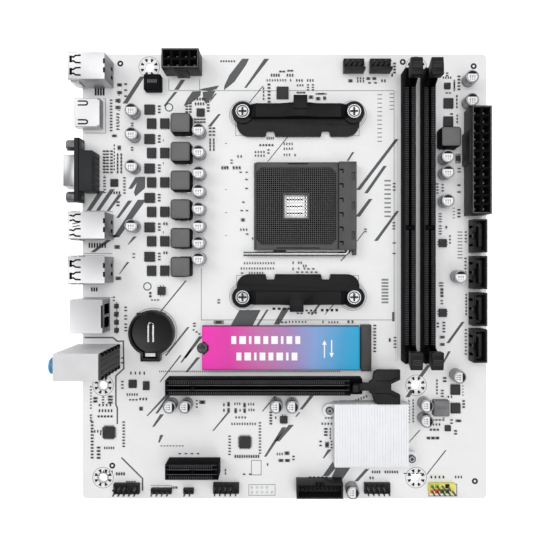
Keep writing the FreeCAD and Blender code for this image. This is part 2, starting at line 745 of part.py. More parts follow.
def build_card():
    """Storage card: its board with the half-round screw notch, and its chips."""
    body = doc.addObject("PartDesign::Body", "CardMaster")
    plan = new_sketch(body, offset="card_height")
    rectangle(plan, "0", "-card_width / 2", "card_length - 3.2", "card_width / 2")
    pad(body, plan, "card_thickness")
    tongue = new_sketch(body, offset="card_height")
    rectangle(tongue, "card_length - 4", "-9.9", "card_length", "9.9")
    pad(body, tongue, "card_thickness")
    notch = new_sketch(body, offset="card_height + card_thickness")
    circle(notch, "0", "0", "1.75")
    pocket(body, notch)
    chips = new_sketch(body, offset="card_height + card_thickness - 0.05")
    rectangle(chips, "5", "-9.6", "21", "9.6")
    rectangle(chips, "23.5", "-9.6", "39.5", "9.6")
    rectangle(chips, "42", "-8", "58", "8")
    rectangle(chips, "61", "-6", "72", "6")
    pad(body, chips, "card_chip_height + 0.05")
    group("m2_card", copies(body, [on_board(*CARD_SCREW)]))


def build_card_label():
    """Heat-spreading label over the chips, with the corner of the screw left free."""
    label = block("card_length - 3", "card_width - 0.6", "card_label_thickness",
                  x="(card_length - 3) / 2", z="card_height + card_thickness + card_chip_height")
    corner = cylinder("3", "2", z="card_height + card_thickness + card_chip_height - 1")
    placed("m2_card_label", cut(label, corner), on_board(*CARD_SCREW))


def build_card_standoff():
    """Brass standoff with a screw that holds the free end of the card."""
    foot = cylinder("2.75", "card_height")
    stem = cylinder("1.7", "card_height + card_thickness - 0.02")
    bore = cylinder("1.05", "5", z="0.6")
    placed("m2_standoff", cut(join(foot, stem), bore), on_board(*CARD_SCREW))
    head = cylinder("2.6", "1", z="card_height + card_thickness")
    shank = cylinder("1", "card_thickness + 1.5", z="card_height - 1")
    slot = block("0.6", "3", "1", z="card_height + card_thickness + 0.5")
    cross = block("3", "0.6", "1", z="card_height + card_thickness + 0.5")
    placed("m2_screw", cut(join(head, shank), slot, cross), on_board(*CARD_SCREW))


# -------------------------------------------------------------------- chipset cooler

HEATSINK_PLACE = (141.8, 186.4)


def build_heatsink():
    """Finned heatsink with an ear at two opposite corners."""
    body = new_body("chipset_heatsink", on_board(*HEATSINK_PLACE))
    x = "heatsink_length / 2"
    y = "heatsink_depth / 2"
    base = new_sketch(body, offset="heatsink_lift")
    rectangle(base, f"-{x}", f"-{y}", x, y)
    pad(body, base, "heatsink_base")
    arms = new_sketch(body, offset="heatsink_lift")
    for from_rear, from_top in SEAT_PEGS:
        dx = from_rear - HEATSINK_PLACE[0]
        dy = HEATSINK_PLACE[1] - from_top
        circle(arms, str(dx), str(dy), "heatsink_ear_radius")
    pad(body, arms, "1.6")
    bridges = new_sketch(body, offset="heatsink_lift")
    rectangle(bridges, f"-{x} - 2", "8.6", f"-{x} + 2", "14")
    rectangle(bridges, f"{x} - 2", "-14.6", f"{x} + 2.2", "-9.4")
    pad(body, bridges, "1.6")
    fin = new_sketch(body, offset="heatsink_lift")
    rectangle(fin, f"-{x}", f"-{y}", f"-{x} + heatsink_fin", y)
    first = pad(body, fin, "heatsink_height")
    pattern = body.newObject("PartDesign::LinearPattern", "Fins")
    pattern.Originals = [first]
    pattern.Direction = (fin, ["H_Axis"])
    pattern.setExpression("Length", sized("heatsink_length - heatsink_fin"))
    pattern.Occurrences = int(size("heatsink_fin_count"))
    body.Tip = pattern
    doc.recompute()
    pegs = new_sketch(body, offset="heatsink_lift + heatsink_height")
    for from_rear, from_top in SEAT_PEGS:
        dx = from_rear - HEATSINK_PLACE[0]
        dy = HEATSINK_PLACE[1] - from_top
        circle(pegs, str(dx), str(dy), "1.3")
    pocket(body, pegs)


def build_chipset():
    """Bare chip package between the board and the heatsink."""
    body = new_body("chipset", on_board(*HEATSINK_PLACE))
    package = new_sketch(body)
    rectangle(package, "-12", "-12", "12", "12")
    pad(body, package, "heatsink_lift")


def build_heatsink_screws():
    """Two hollow-headed fasteners through the heatsink ears and the board."""
    top = "heatsink_lift + 1.6"
    head = cut(cylinder("1.9", "1.6", z=top), cylinder("0.9", "2", z=f"{top} + 0.6"))
    shank = cylinder("1.25", f"{top} + board_thickness + 0.9", z="-board_thickness - 0.8")
    peg = join(head, shank)
    group("heatsink_screws", copies(peg, [on_board(*place) for place in SEAT_PEGS]))


# ------------------------------------------------------------------ coin cell holder

CELL_PLACE = (34.9, 137.5)


def build_cell_holder():
    """Round open cup with a neck that carries the side contact."""
    cup = cut(cylinder("cell_holder_radius", "cell_holder_height"),
              cylinder("cell_radius", "cell_holder_height", z="cell_holder_floor"))
    neck = cut(block("9.4", "6.6", "cell_holder_height", x="-0.4", y="-10.5"),
               block("7", "5.4", "cell_holder_height", x="-0.4", y="-9.6", z="cell_holder_floor"),
               cylinder("cell_radius", "cell_holder_height", z="cell_holder_floor"))
    opening = block("7", "3", "cell_holder_height", x="-0.4", y="-10.6", z="cell_holder_floor")
    hooks = [block("5", "1.6", "0.9", x=x, y="9.2", z="cell_holder_height - 0.9")
             for x in ("-4.5", "4.5")]
    placed("battery_holder", join(cut(join(cup, neck), opening), *hooks), on_board(*CELL_PLACE))


def build_cell_contacts():
    """Two sprung prongs in the floor and the folded clip in the neck."""
    floor = size("cell_holder_floor")
    prongs = [brick(0.9, 8.4, 0.4, on_board(*CELL_PLACE, floor) + Vector(x, -0.6, 0))
              for x in (-2.1, 0.3)]
    bridge = brick(3.3, 1.2, 0.4, on_board(*CELL_PLACE, floor) + Vector(-0.9, 4.2, 0))
    clip = brick(5.0, 0.5, 3.4, on_board(*CELL_PLACE, floor) + Vector(-0.4, -11.6, 0))
    fold = brick(5.0, 1.6, 0.4, on_board(*CELL_PLACE, floor + 3.0) + Vector(-0.4, -10.55, 0))
    group("battery_contacts", [prongs[0].fuse([prongs[1], bridge]).removeSplitter(),
                               clip.fuse(fold).removeSplitter()])


# ---------------------------------------------------------------- power connectors

def build_power_connector(label, place, columns, rows, latch_place, latch_size):
    """Twin-row power socket: one square cell for each pin and a latch ledge."""
    pitch = size("power_pitch")
    height = size("power_height")
    length = columns * pitch + 1.0
    width = rows * pitch + 1.0
    centre = on_board(*place)
    shape = brick(length, width, height, centre)
    shape = shape.fuse(brick(*latch_size, height - 0.8, centre + Vector(*latch_place, 0)))
    for from_rear, from_top in pin_block(*place, columns, rows, pitch):
        cell = on_board(from_rear, from_top, 3.0)
        shape = shape.cut(brick(3.5, 3.5, height, cell))
        shape = shape.cut(brick(1.0, 1.0, height, on_board(from_rear, from_top, -1.0)))
    group(label, [shape.removeSplitter()])


# ------------------------------------------------------------- headers with bare pins

def header_base(place, columns, rows, missing=()):
    """Low plastic strip that its square pins pass through."""
    pitch = size("pin_pitch")
    shape = brick(columns * pitch, rows * pitch, 2.5, on_board(*place))
    side = size("pin_side")
    for from_rear, from_top in pin_block(*place, columns, rows, pitch, missing):
        shape = shape.cut(brick(side, side, 4.0, on_board(from_rear, from_top, -0.5)))
    return shape.removeSplitter()


def build_headers():
    """Pin strips along the lower edge, the shrouded one included."""
    strips = [
        header_base(AUDIO_HEADER, 5, 2, [(3, 0)]),
        header_base(USB_HEADER_LEFT, 5, 2, [(4, 0)]),
        header_base(USB_HEADER_RIGHT, 5, 2, [(4, 0)]),
        header_base(DIGITAL_AUDIO_HEADER, 4, 1),
        header_base(SHORT_HEADER, 2, 1),
    ]
    group("pin_header_bases", strips)
    group("front_panel_header", [header_base(PANEL_HEADER, 5, 2, [(4, 0)])])
    centre = on_board(*USB3_HEADER)
    shroud = brick(22.4, 7.4, 9.0, centre).cut(brick(20.6, 5.6, 9.0, centre + Vector(0, 0, 1.6)))
    shroud = shroud.cut(brick(4.4, 1.4, 9.0, centre + Vector(0, 3.5, 5.2)))
    for from_rear, from_top in box_header_pins:
        shroud = shroud.cut(brick(0.5, 0.5, 4.0, on_board(from_rear, from_top, -0.5)))
    group("usb3_header", [shroud.removeSplitter()])
    fans = []
    for place in FAN_HEADERS:
        base = brick(10.2, 6.6, 3.2, on_board(*place)).fuse(
            brick(10.2, 1.2, 8.0, on_board(*place) + Vector(0, -2.7, 0)))
        for from_rear, from_top in pin_block(*place, 4, 1, 2.54):
            base = base.cut(brick(0.64, 0.64, 5.0, on_board(from_rear, from_top, -0.5)))
        fans.append(base.removeSplitter())
    group("fan_headers", fans)


def build_pins():
    """Every upright pin; each tail stands out under the board."""
    side = size("pin_side")
    tail = size("board_thickness") + size("pin_tail")

    def pins(spots, width, height):
        return [brick(width, width, tail + height, on_board(x, y, -tail)) for x, y in spots]

    group("header_pins", pins(header_pins, side, 8.5) + pins(fan_pins, side, 10.5)
          + pins(box_header_pins, 0.5, 6.6))
    group("connector_pins", pins(power_pins, 1.0, 8.0) + pins(sata_pins, 0.45, 0.0)
          + pins(tails, side, 0.0))


def build_solder():
    """A solder fillet around every tail, under the board."""
    fillets = []
    for spots, width, wide, narrow in (
            (header_pins + fan_pins + box_header_pins + tails, size("pin_side"), 0.9, 0.52),
            (power_pins, 1.0, 1.3, 0.78), (sata_pins, 0.45, 0.6, 0.38)):
        for from_rear, from_top in spots:
            spot = on_board(from_rear, from_top)
            spot.z = 0.0
            width_here = 0.5 if (from_rear, from_top) in box_header_pins else width
            cone = Part.makeCone(wide, narrow, 1.1, spot, Vector(0, 0, -1))
            fillets.append(cone.cut(brick(width_here, width_here, 4.0, spot - Vector(0, 0, 2))))
    group("solder_joints", [solid for shape in fillets for solid in shape.Solids])


# ------------------------------------------------------------------- storage ports

def build_sata_port(label, from_top):
    """Upright port: an open shroud with the L-shaped blade inside."""
    centre = on_board(194.3, from_top)
    shroud = brick(6.6, 16.0, 8.4, centre)
    cavity = brick(4.6, 14.2, 8.4, centre + Vector(0, 0, 1.8))
    blade = brick(1.5, 11.0, 6.0, centre + Vector(0.2, 0.3, 1.0))
    hook = brick(1.5, 1.3, 6.0, centre + Vector(-1.0, 5.1, 1.0))
    slot = brick(2.2, 3.6, 4.0, centre + Vector(-3.0, 0, 5.4))
    shape = shroud.cut(cavity).cut(slot).fuse([blade, hook]).removeSplitter()
    group(label, [shape])


# ------------------------------------------------------------ rear panel connectors

def open_shell(length, width, height, wall):
    """Sheet-metal sleeve, closed at the back and open towards the rear panel."""
    outside = brick(length, width, height, Vector(length / 2, 0, 0))
    inside = brick(length, width - 2 * wall, height - 2 * wall, Vector(length / 2 - wall, 0, wall))
    return outside.cut(inside)


def build_usb_stack(label, from_top, cores):
    """Double socket: shell with a middle shelf, and the contact tongues inside."""
    wall = size("shell_wall")
    length = size("usb_length")
    width = size("usb_width")
    height = size("usb_height")
    shelf_top = height / 2 + 0.6
    place = on_board(-1.9, from_top)
    shelf = brick(length, width - 2 * wall, 1.2, Vector(length / 2, 0, shelf_top - 1.2))
    springs = [brick(4.0, 0.6, 9.0, Vector(2.2, side * (width / 2 + 0.3), 3.2))
               for side in (-1, 1)]
    shell = open_shell(length, width, height, wall).fuse([shelf, *springs]).removeSplitter()
    shell.translate(place)
    group(f"{label}_shell", [shell])
    for floor in (wall, shelf_top):
        tongue = brick(9.0, width - 2.4, 1.9, Vector(7.0, 0, floor + 2.6))
        root = brick(5.4, width - 2 * wall - 0.2, 5.6, Vector(14.0, 0, floor))
        core = tongue.fuse(root).removeSplitter()
        core.translate(place)
        cores.append(core)


def build_usb():
    plain = []
    fast = []
    for label, from_top in USB_STACKS.items():
        build_usb_stack(label, from_top, fast if label == "usb3" else plain)
    group("usb2_cores", plain)
    group("usb3_core", fast)


def build_video_ports():
    """Digital video socket and the older D-shaped one with its two hex studs."""
    place = on_board(-2.0, 30.3)
    sleeve = open_shell(12.2, 13.9, 6.2, 0.4)
    sleeve.translate(place)
    group("hdmi_shell", [sleeve])
    core = brick(3.0, 13.0, 5.3, Vector(10.0, 0, 0.4)).fuse(
        brick(7.0, 10.4, 1.3, Vector(5.6, 0, 2.9))).removeSplitter()
    core.translate(place)
    group("hdmi_core", [core])

    middle = on_board(0, 59.0)
    body = brick(7.6, 19.2, 12.5, middle + Vector(6.0, -0.4, 0))
    flange = brick(2.5, 30.4, 8.1, middle + Vector(1.2, 0, 4.4))
    insert = brick(5.6, 13.6, 6.4, middle + Vector(-2.8, 0, 3.1))
    shape = body.fuse([flange, insert])
    for side in (-1, 1):
        bore = Part.makeCylinder(1.6, 3, middle + Vector(-0.1, side * 12.5, 7.3), Vector(1, 0, 0))
        shape = shape.cut(bore)
    for k in range(15):
        y = (k % 5 - 2) * 2.3 + (0.6 if k // 5 == 1 else 0)
        z = 6.3 + (k // 5 - 1) * 1.9
        hole = Part.makeCylinder(0.5, 5, middle + Vector(-5.8, y, z), Vector(1, 0, 0))
        shape = shape.cut(hole)
    group("vga_body", [shape.removeSplitter()])
    group("vga_shell", [d_shell(middle)])
    nuts = []
    for side in (-1, 1):
        centre = middle + Vector(-5.0, side * 12.5, 7.3)
        corners = [centre + Vector(0, 2.7 * cos(k * pi / 3), 2.7 * sin(k * pi / 3))
                   for k in range(7)]
        nut = Part.Face(Part.makePolygon(corners)).extrude(Vector(4.95, 0, 0))
        nut = nut.fuse(Part.makeCylinder(1.55, 2.5, centre + Vector(4.95, 0, 0), Vector(1, 0, 0)))
        nuts.append(nut.cut(Part.makeCylinder(1.1, 4, centre, Vector(1, 0, 0))).removeSplitter())
    group("vga_nuts", nuts)


def d_outline(middle, x, half_top, half_bottom, half_height):
    """Trapezoid of the D-shaped socket, wide side down."""
    corners = [(half_top, half_height), (-half_top, half_height), (-half_bottom, -half_height),
               (half_bottom, -half_height), (half_top, half_height)]
    return Part.makePolygon([middle + Vector(x, y, 6.3 + z) for y, z in corners])


def d_shell(middle):
    """Pressed metal D-shell standing out of the rear panel."""
    outside = Part.Face(d_outline(middle, -5.9, 7.4, 8.2, 4.1)).extrude(Vector(5.8, 0, 0))
    inside = Part.Face(d_outline(middle, -6.5, 6.95, 7.75, 3.6)).extrude(Vector(7.0, 0, 0))
    return outside.cut(inside)


def build_network_port():
    """Shielded network jack: metal shell and the plastic core with its cavity."""
    place = on_board(-1.7, 128.7)
    shell = open_shell(15.4, 16.1, 13.4, 0.3)
    shell.translate(place)
    core = brick(14.8, 15.3, 12.7, Vector(7.6, 0, 0.35))
    core = core.cut(brick(11.0, 11.9, 7.6, Vector(5.4, 0, 3.4)))
    core = core.cut(brick(11.0, 6.2, 2.2, Vector(5.4, 0, 1.4)))
    core.translate(place)
    group("lan_shell", [shell])
    group("lan_core", [core])


def build_audio_jacks():
    """Three stacked round jacks, one tier of the housing and one collar for each."""
    place = on_board(-2.3, 149.4)
    tiers = []
    collars = []
    for height, (low, high) in zip(AUDIO_JACK_HEIGHTS, AUDIO_TIERS):
        centre = place + Vector(-2.9, 0, height)
        tier = brick(21.2, 12.2, high - low, place + Vector(10.6, 0, low))
        collar = Part.makeCylinder(3.75, 2.9, centre, Vector(1, 0, 0))
        bore = Part.makeCylinder(1.8, 14.9, centre, Vector(1, 0, 0))
        collars.append(collar.cut(bore))
        tiers.append(tier.cut(bore))
    group("audio_housing", tiers)
    group("audio_collars", collars)


AUDIO_JACK_HEIGHTS = (6.0, 17.0, 28.0)
AUDIO_TIERS = ((0.0, 11.5), (11.5, 22.5), (22.5, 33.5))


# ------------------------------------------------------------- small soldered parts

def build_capacitors():
    """Radial cans with a rolled bead near the foot, at every capacitor place."""
    can = doc.addObject("PartDesign::Body", "CanMaster")
    profile = new_sketch(can, "XZ_Plane")
    radius = "capacitor_radius"
    outline(profile, [("0", "0"), (radius, "0"), (radius, "0.9"),
                      (f"{radius} - capacitor_bead", "1.3"), (radius, "1.7"),
                      (radius, "capacitor_height - 0.3"), (f"{radius} - 0.3", "capacitor_height"),
                      (f"{radius} - 0.55", "capacitor_height"),
                      (f"{radius} - 0.6", "capacitor_height - 0.15"),
                      ("0", "capacitor_height - 0.15")])
    turned = can.newObject("PartDesign::Revolution", "Revolution")
    turned.Profile = profile
    turned.ReferenceAxis = (profile, ["V_Axis"])
    turned.Angle = 360
    group("capacitors", copies(can, [on_board(*place) for place in CAPACITORS]))


def build_chokes():
    """Moulded power chokes, and the two smaller ones."""
    block_master = block("choke_side", "choke_side", "choke_height - 0.4", z="0.4")
    foot = block("choke_side - 2", "choke_side + 0.6", "0.4")
    chamfered = doc.addObject("Part::Fillet", "ChokeMaster")
    chamfered.Base = block_master
    doc.recompute()
    edges = [(number, 0.6, 0.6) for number, edge in enumerate(block_master.Shape.Edges, start=1)
             if edge.BoundBox.ZMax > size("choke_height") - 0.5]
    chamfered.Edges = edges
    places = [on_board(*place) for place in VRM_CHOKES]
    group("vrm_chokes", copies(chamfered, places) + copies(foot, places))
    group("small_inductors", [brick(8.4, 8.0, 5.0, on_board(35.4, 15.1)),
                              brick(8.0, 8.0, 3.6, on_board(176.9, 174.6))])


def build_mosfets():
    """Flat power switches beside the chokes and near the memory supply."""
    solids = []
    for k in range(6):
        solids.append(brick(5.7, 4.9, 1.0, on_board(33.3, 27.5 + 14.55 * k)))
        for from_rear in (34.3, 40.8):
            solids.append(brick(4.6, 5.6, 1.0, on_board(from_rear, 34.4 + 14.55 * k)))
    for from_rear, from_top in ((181.0, 24.4), (180.9, 33.4), (184.4, 165.9), (184.5, 175.1)):
        solids.append(brick(4.8, 5.6, 1.0, on_board(from_rear, from_top)))
    group("mosfets", solids)


CHIPS = [
    # from_rear, from_top, length, width, height
    (13.2, 187.1, 7.0, 7.0, 1.4), (80.4, 191.9, 7.0, 7.0, 1.4), (24.9, 163.1, 4.2, 4.2, 0.9),
    (31.6, 164.0, 3.4, 4.5, 0.9), (39.3, 117.1, 3.9, 5.4, 1.5), (15.8, 63.7, 4.0, 4.0, 0.9),
    (58.5, 28.9, 4.2, 4.2, 0.9), (99.0, 19.2, 6.1, 6.3, 0.9), (180.5, 15.8, 3.3, 3.3, 0.9),
    (178.1, 93.5, 5.2, 4.0, 1.5), (178.1, 127.9, 5.2, 4.0, 1.5), (180.7, 185.0, 3.1, 3.1, 0.9),
    (99.6, 180.7, 3.8, 4.8, 1.5), (17.0, 124.6, 2.0, 3.6, 1.6), (17.0, 128.6, 2.0, 3.6, 1.6),
    (17.0, 132.6, 2.0, 3.6, 1.6), (17.0, 136.6, 2.0, 3.6, 1.6),
]


def build_chips():
    """Controller, codec and regulator packages."""
    group("chips", [brick(length, width, height, on_board(from_rear, from_top))
                    for from_rear, from_top, length, width, height in CHIPS])


# Rows of tiny parts: from_rear, from_top, how many, step_x, step_y, length_x, length_y.
PASSIVE_ROWS = [
    # behind the rear ports, upper part
    (18.4, 15.2, 2, 0.0, 3.8, 2.4, 1.4), (17.6, 23.0, 2, 0.0, 3.4, 2.6, 1.6),
    (14.2, 22.8, 11, 0.0, 1.5, 1.3, 0.6), (17.4, 29.6, 6, 0.0, 1.5, 1.3, 0.6),
    (21.4, 14.8, 3, 0.0, 3.0, 1.4, 0.7), (15.8, 40.4, 1, 0.0, 0.0, 2.4, 1.2),
    (18.2, 46.3, 1, 0.0, 0.0, 1.6, 2.2), (24.6, 34.2, 2, 0.0, 1.2, 1.2, 0.6),
    (24.6, 46.2, 2, 0.0, 1.2, 1.2, 0.6),
    # beside the D-shaped video port
    (10.8, 48.0, 8, 0.0, 1.5, 1.4, 0.7), (12.4, 48.0, 8, 0.0, 1.5, 1.4, 0.7),
    (14.4, 48.0, 8, 0.0, 1.5, 1.4, 0.7), (17.4, 49.8, 6, 0.0, 1.7, 0.7, 1.4),
    (19.2, 49.8, 6, 0.0, 1.7, 0.7, 1.4), (11.0, 61.0, 6, 0.0, 1.5, 1.3, 0.5),
    (20.8, 61.2, 6, 0.0, 1.5, 1.2, 0.6), (14.4, 68.6, 4, 1.3, 0.0, 0.7, 1.4),
    (17.6, 73.2, 2, 0.0, 1.6, 1.6, 0.8),
    # between the power switches
    (38.0, 25.8, 3, 0.0, 1.5, 1.4, 0.7), (38.0, 40.4, 3, 0.0, 1.5, 1.4, 0.7),
    (38.0, 54.9, 3, 0.0, 1.5, 1.4, 0.7), (38.0, 69.5, 3, 0.0, 1.5, 1.4, 0.7),
    (38.0, 84.0, 3, 0.0, 1.5, 1.4, 0.7), (38.0, 98.6, 3, 0.0, 1.5, 1.4, 0.7),
    (40.4, 83.9, 2, 1.3, 0.0, 0.7, 1.4), (40.4, 98.3, 2, 1.3, 0.0, 0.7, 1.4),
    (63.2, 36.6, 3, 0.0, 1.7, 1.4, 0.7), (65.0, 36.6, 3, 0.0, 1.7, 1.4, 0.7),
    (63.2, 42.4, 4, 0.0, 1.6, 0.7, 1.4), (65.0, 42.4, 4, 0.0, 1.6, 0.7, 1.4),
    # around the voltage controller
    (55.6, 22.2, 5, 1.3, 0.0, 0.7, 1.4), (56.0, 24.6, 4, 1.3, 0.0, 0.7, 1.4),
    (51.6, 24.4, 4, 0.0, 1.4, 1.4, 0.7), (53.4, 24.4, 4, 0.0, 1.4, 1.4, 0.7),
    (62.2, 23.6, 4, 0.0, 1.5, 1.4, 0.7), (55.8, 32.2, 4, 1.5, 0.0, 1.4, 0.7),
    (55.8, 33.6, 4, 1.5, 0.0, 1.4, 0.7),
    # above the upper cooler bracket
    (98.0, 8.6, 2, 1.6, 0.0, 1.4, 0.7), (102.0, 8.2, 2, 1.6, 0.0, 1.4, 0.7),
    (93.6, 10.4, 4, 1.2, 0.0, 0.7, 1.4), (101.4, 10.4, 3, 1.3, 0.0, 0.7, 1.4),
    (91.4, 12.9, 8, 1.3, 0.0, 0.5, 1.1), (103.0, 12.9, 1, 0.0, 0.0, 0.5, 1.1),
    (92.3, 15.0, 6, 0.0, 1.7, 1.5, 0.8), (89.6, 17.0, 4, 0.0, 1.7, 0.6, 1.1),
    (106.0, 13.0, 3, 1.3, 0.0, 0.6, 1.2), (106.4, 15.4, 3, 1.3, 0.0, 0.6, 1.0),
    (111.4, 13.0, 3, 1.3, 0.0, 0.6, 1.2), (111.6, 15.2, 3, 0.0, 1.2, 1.1, 0.5),
    (114.0, 15.2, 3, 0.0, 1.2, 1.1, 0.5), (106.6, 19.0, 3, 1.5, 0.0, 1.4, 0.7),
    (113.0, 21.2, 1, 0.0, 0.0, 2.4, 1.5), (116.6, 22.0, 1, 0.0, 0.0, 2.4, 1.5),
    (119.8, 21.8, 1, 0.0, 0.0, 1.4, 1.8), (116.0, 19.6, 4, 1.4, 0.0, 1.4, 0.7),
    # between the upper bracket and the socket
    (91.4, 41.6, 4, 1.0, 0.0, 0.5, 1.4), (88.0, 45.0, 5, 1.5, 0.0, 1.0, 0.9),
    (85.6, 48.4, 4, 1.4, 0.0, 0.6, 1.0), (85.6, 50.2, 4, 1.4, 0.0, 0.6, 1.0),
    (92.0, 47.4, 2, 0.0, 1.5, 1.2, 0.6), (99.8, 44.4, 4, 1.3, 0.0, 0.5, 1.2),
    (99.8, 46.8, 4, 1.3, 0.0, 0.5, 1.2), (99.8, 49.8, 3, 1.3, 0.0, 0.5, 1.2),
    (105.2, 49.9, 1, 0.0, 0.0, 0.6, 1.2),
    # rear side of the socket
    (77.0, 50.6, 2, 1.5, 0.0, 0.6, 1.4), (73.8, 52.4, 2, 0.0, 1.4, 1.2, 0.5),
    (69.2, 56.2, 3, 1.3, 0.0, 0.9, 1.6), (74.8, 56.2, 3, 1.5, 0.0, 0.9, 1.6),
    (78.2, 58.4, 2, 3.0, 0.0, 1.3, 0.5), (81.2, 62.0, 2, 0.0, 4.4, 1.4, 0.6),
    (79.6, 73.2, 1, 0.0, 0.0, 1.3, 0.6), (78.8, 77.4, 2, 2.6, 0.0, 1.3, 0.6),
    (79.4, 82.0, 1, 0.0, 0.0, 2.0, 1.6), (78.4, 86.8, 3, 1.4, 0.0, 0.6, 1.2),
    (81.4, 89.0, 1, 0.0, 0.0, 1.4, 0.6), (84.2, 91.2, 1, 0.0, 0.0, 0.6, 1.0),
    # between the socket and the lower bracket
    (80.2, 103.4, 12, 1.32, 0.0, 0.5, 1.1), (78.6, 106.0, 13, 1.32, 0.0, 0.5, 1.1),
    (82.6, 108.2, 6, 1.3, 0.0, 0.5, 1.1), (79.0, 108.3, 1, 0.0, 0.0, 1.4, 0.6),
    (104.2, 103.2, 2, 0.0, 3.0, 0.6, 1.3), (107.0, 103.2, 2, 1.2, 0.0, 0.6, 1.3),
    (109.4, 104.8, 2, 1.2, 0.0, 0.6, 1.3), (107.0, 106.0, 2, 2.8, 0.0, 0.6, 1.1),
    (111.8, 106.2, 2, 2.4, 0.0, 1.3, 0.6), (106.4, 107.8, 5, 2.3, 0.0, 1.3, 0.6),
    # upper edge, by the fan headers
    (132.6, 13.2, 1, 0.0, 0.0, 2.2, 1.4), (136.2, 12.0, 3, 1.4, 0.0, 0.6, 1.0),
    (136.2, 13.4, 3, 1.4, 0.0, 0.6, 1.2), (141.4, 12.1, 2, 3.0, 0.0, 2.0, 1.2),
    (142.0, 14.2, 2, 3.0, 0.0, 1.4, 0.7), (153.2, 10.4, 1, 0.0, 0.0, 0.8, 1.6),
    (154.4, 4.6, 4, 0.0, 1.5, 1.4, 0.7), (148.2, 13.2, 2, 1.4, 0.0, 0.7, 1.4),
    # memory supply
    (180.4, 9.4, 2, 0.0, 1.2, 1.2, 0.5), (178.6, 11.6, 4, 1.2, 0.0, 0.5, 1.1),
    (184.0, 13.4, 4, 0.0, 1.4, 0.7, 1.4), (186.2, 11.0, 5, 0.0, 1.6, 1.4, 0.7),
    (180.2, 19.2, 2, 1.6, 0.0, 1.1, 0.6), (185.2, 20.8, 4, 0.0, 1.8, 0.6, 1.2),
    (185.4, 30.4, 3, 0.0, 1.6, 0.6, 1.1), (182.6, 29.6, 1, 0.0, 0.0, 1.4, 0.7),
    (185.8, 51.6, 1, 0.0, 0.0, 2.6, 4.6), (186.4, 56.6, 2, 0.0, 1.6, 1.6, 0.6),
    (175.6, 64.2, 4, 0.0, 1.5, 1.2, 0.6), (178.2, 64.6, 3, 0.0, 1.5, 1.2, 0.6),
    (186.2, 64.8, 2, 0.0, 3.4, 1.6, 0.7), (186.2, 77.0, 3, 0.0, 1.7, 1.6, 0.7),
    (177.0, 79.0, 4, 0.0, 1.3, 1.6, 0.5), (177.0, 85.0, 4, 0.0, 1.3, 1.6, 0.5),
    (180.0, 85.6, 1, 0.0, 0.0, 0.8, 1.4), (181.8, 90.0, 3, 0.0, 1.7, 0.7, 0.9),
    (177.4, 113.2, 2, 0.0, 1.4, 2.4, 0.6), (177.8, 116.4, 3, 0.0, 1.6, 1.6, 1.2),
    (177.8, 122.0, 2, 0.0, 1.4, 1.2, 0.6), (175.8, 133.2, 2, 0.0, 1.6, 1.2, 0.8),
    (178.8, 132.8, 4, 0.0, 1.5, 1.4, 0.7), (178.0, 140.0, 2, 0.0, 3.6, 2.4, 1.3),
    # rear of the storage ports
    (189.6, 88.0, 4, 0.0, 1.6, 1.0, 0.6), (189.4, 101.0, 6, 0.0, 1.7, 1.0, 0.6),
    (189.8, 119.0, 7, 0.0, 1.6, 0.6, 1.0), (189.6, 136.4, 8, 0.0, 1.7, 1.0, 0.6),
    (154.2, 64.0, 3, 0.0, 1.6, 1.4, 0.6), (154.0, 83.4, 3, 0.0, 1.5, 1.4, 0.6),
    (154.2, 93.4, 2, 0.0, 5.2, 1.6, 0.6), (154.6, 140.2, 4, 0.0, 1.6, 1.4, 0.6),
    (152.0, 141.4, 1, 0.0, 0.0, 0.9, 1.9), (144.6, 134.2, 9, 0.0, 1.6, 1.4, 0.7),
    (140.0, 86.6, 2, 0.0, 1.2, 1.4, 0.6),
    # around the network port and the cell holder
    (15.6, 120.2, 2, 0.0, 1.6, 1.0, 0.6), (21.4, 125.2, 2, 0.0, 1.6, 1.4, 0.6),
    (21.4, 129.4, 2, 0.0, 1.6, 1.4, 0.6), (21.4, 133.6, 3, 0.0, 1.6, 1.4, 0.6),
    (17.2, 95.4, 1, 0.0, 0.0, 2.8, 1.8), (17.8, 110.9, 1, 0.0, 0.0, 2.8, 1.6),
    (25.4, 98.8, 2, 0.0, 1.8, 1.3, 0.6), (33.6, 118.2, 2, 0.0, 1.6, 1.2, 1.0),
    (34.4, 121.6, 3, 1.5, 0.0, 0.9, 0.6), (67.4, 121.6, 2, 0.0, 1.4, 1.3, 0.6),
    # above the storage card
    (67.4, 132.6, 1, 0.0, 0.0, 5.0, 1.6), (55.4, 133.2, 2, 0.0, 1.3, 1.4, 0.6),
    (55.0, 136.4, 3, 1.4, 1.0, 1.0, 0.6), (97.0, 132.6, 3, 1.8, 0.0, 1.2, 0.8),
    (102.4, 132.4, 6, 1.6, 0.0, 0.6, 1.0), (119.0, 132.4, 1, 0.0, 0.0, 0.6, 1.2),
    (122.0, 132.6, 4, 1.4, 0.0, 0.6, 1.0), (131.6, 132.4, 2, 2.0, 0.0, 0.9, 1.4),
    (112.0, 128.0, 3, 1.7, 0.0, 1.2, 1.0), (106.6, 128.2, 2, 1.8, 0.0, 1.3, 0.7),
    # lower rear corner: sound
    (4.2, 164.6, 8, 0.0, 1.5, 0.8, 0.5), (6.4, 170.2, 2, 0.0, 1.6, 2.0, 1.0),
    (10.2, 169.6, 3, 0.0, 1.4, 1.2, 0.5), (13.8, 169.4, 3, 0.0, 1.5, 2.4, 0.9),
    (8.4, 173.6, 4, 1.8, 0.0, 0.6, 1.2), (8.4, 176.4, 5, 1.5, 0.0, 0.6, 1.4),
    (8.0, 179.2, 5, 1.6, 0.0, 1.0, 0.9), (4.2, 178.6, 3, 0.0, 1.3, 0.9, 0.6),
    (4.8, 182.0, 12, 0.0, 1.6, 1.4, 0.7), (20.4, 182.0, 9, 0.0, 1.5, 1.2, 0.6),
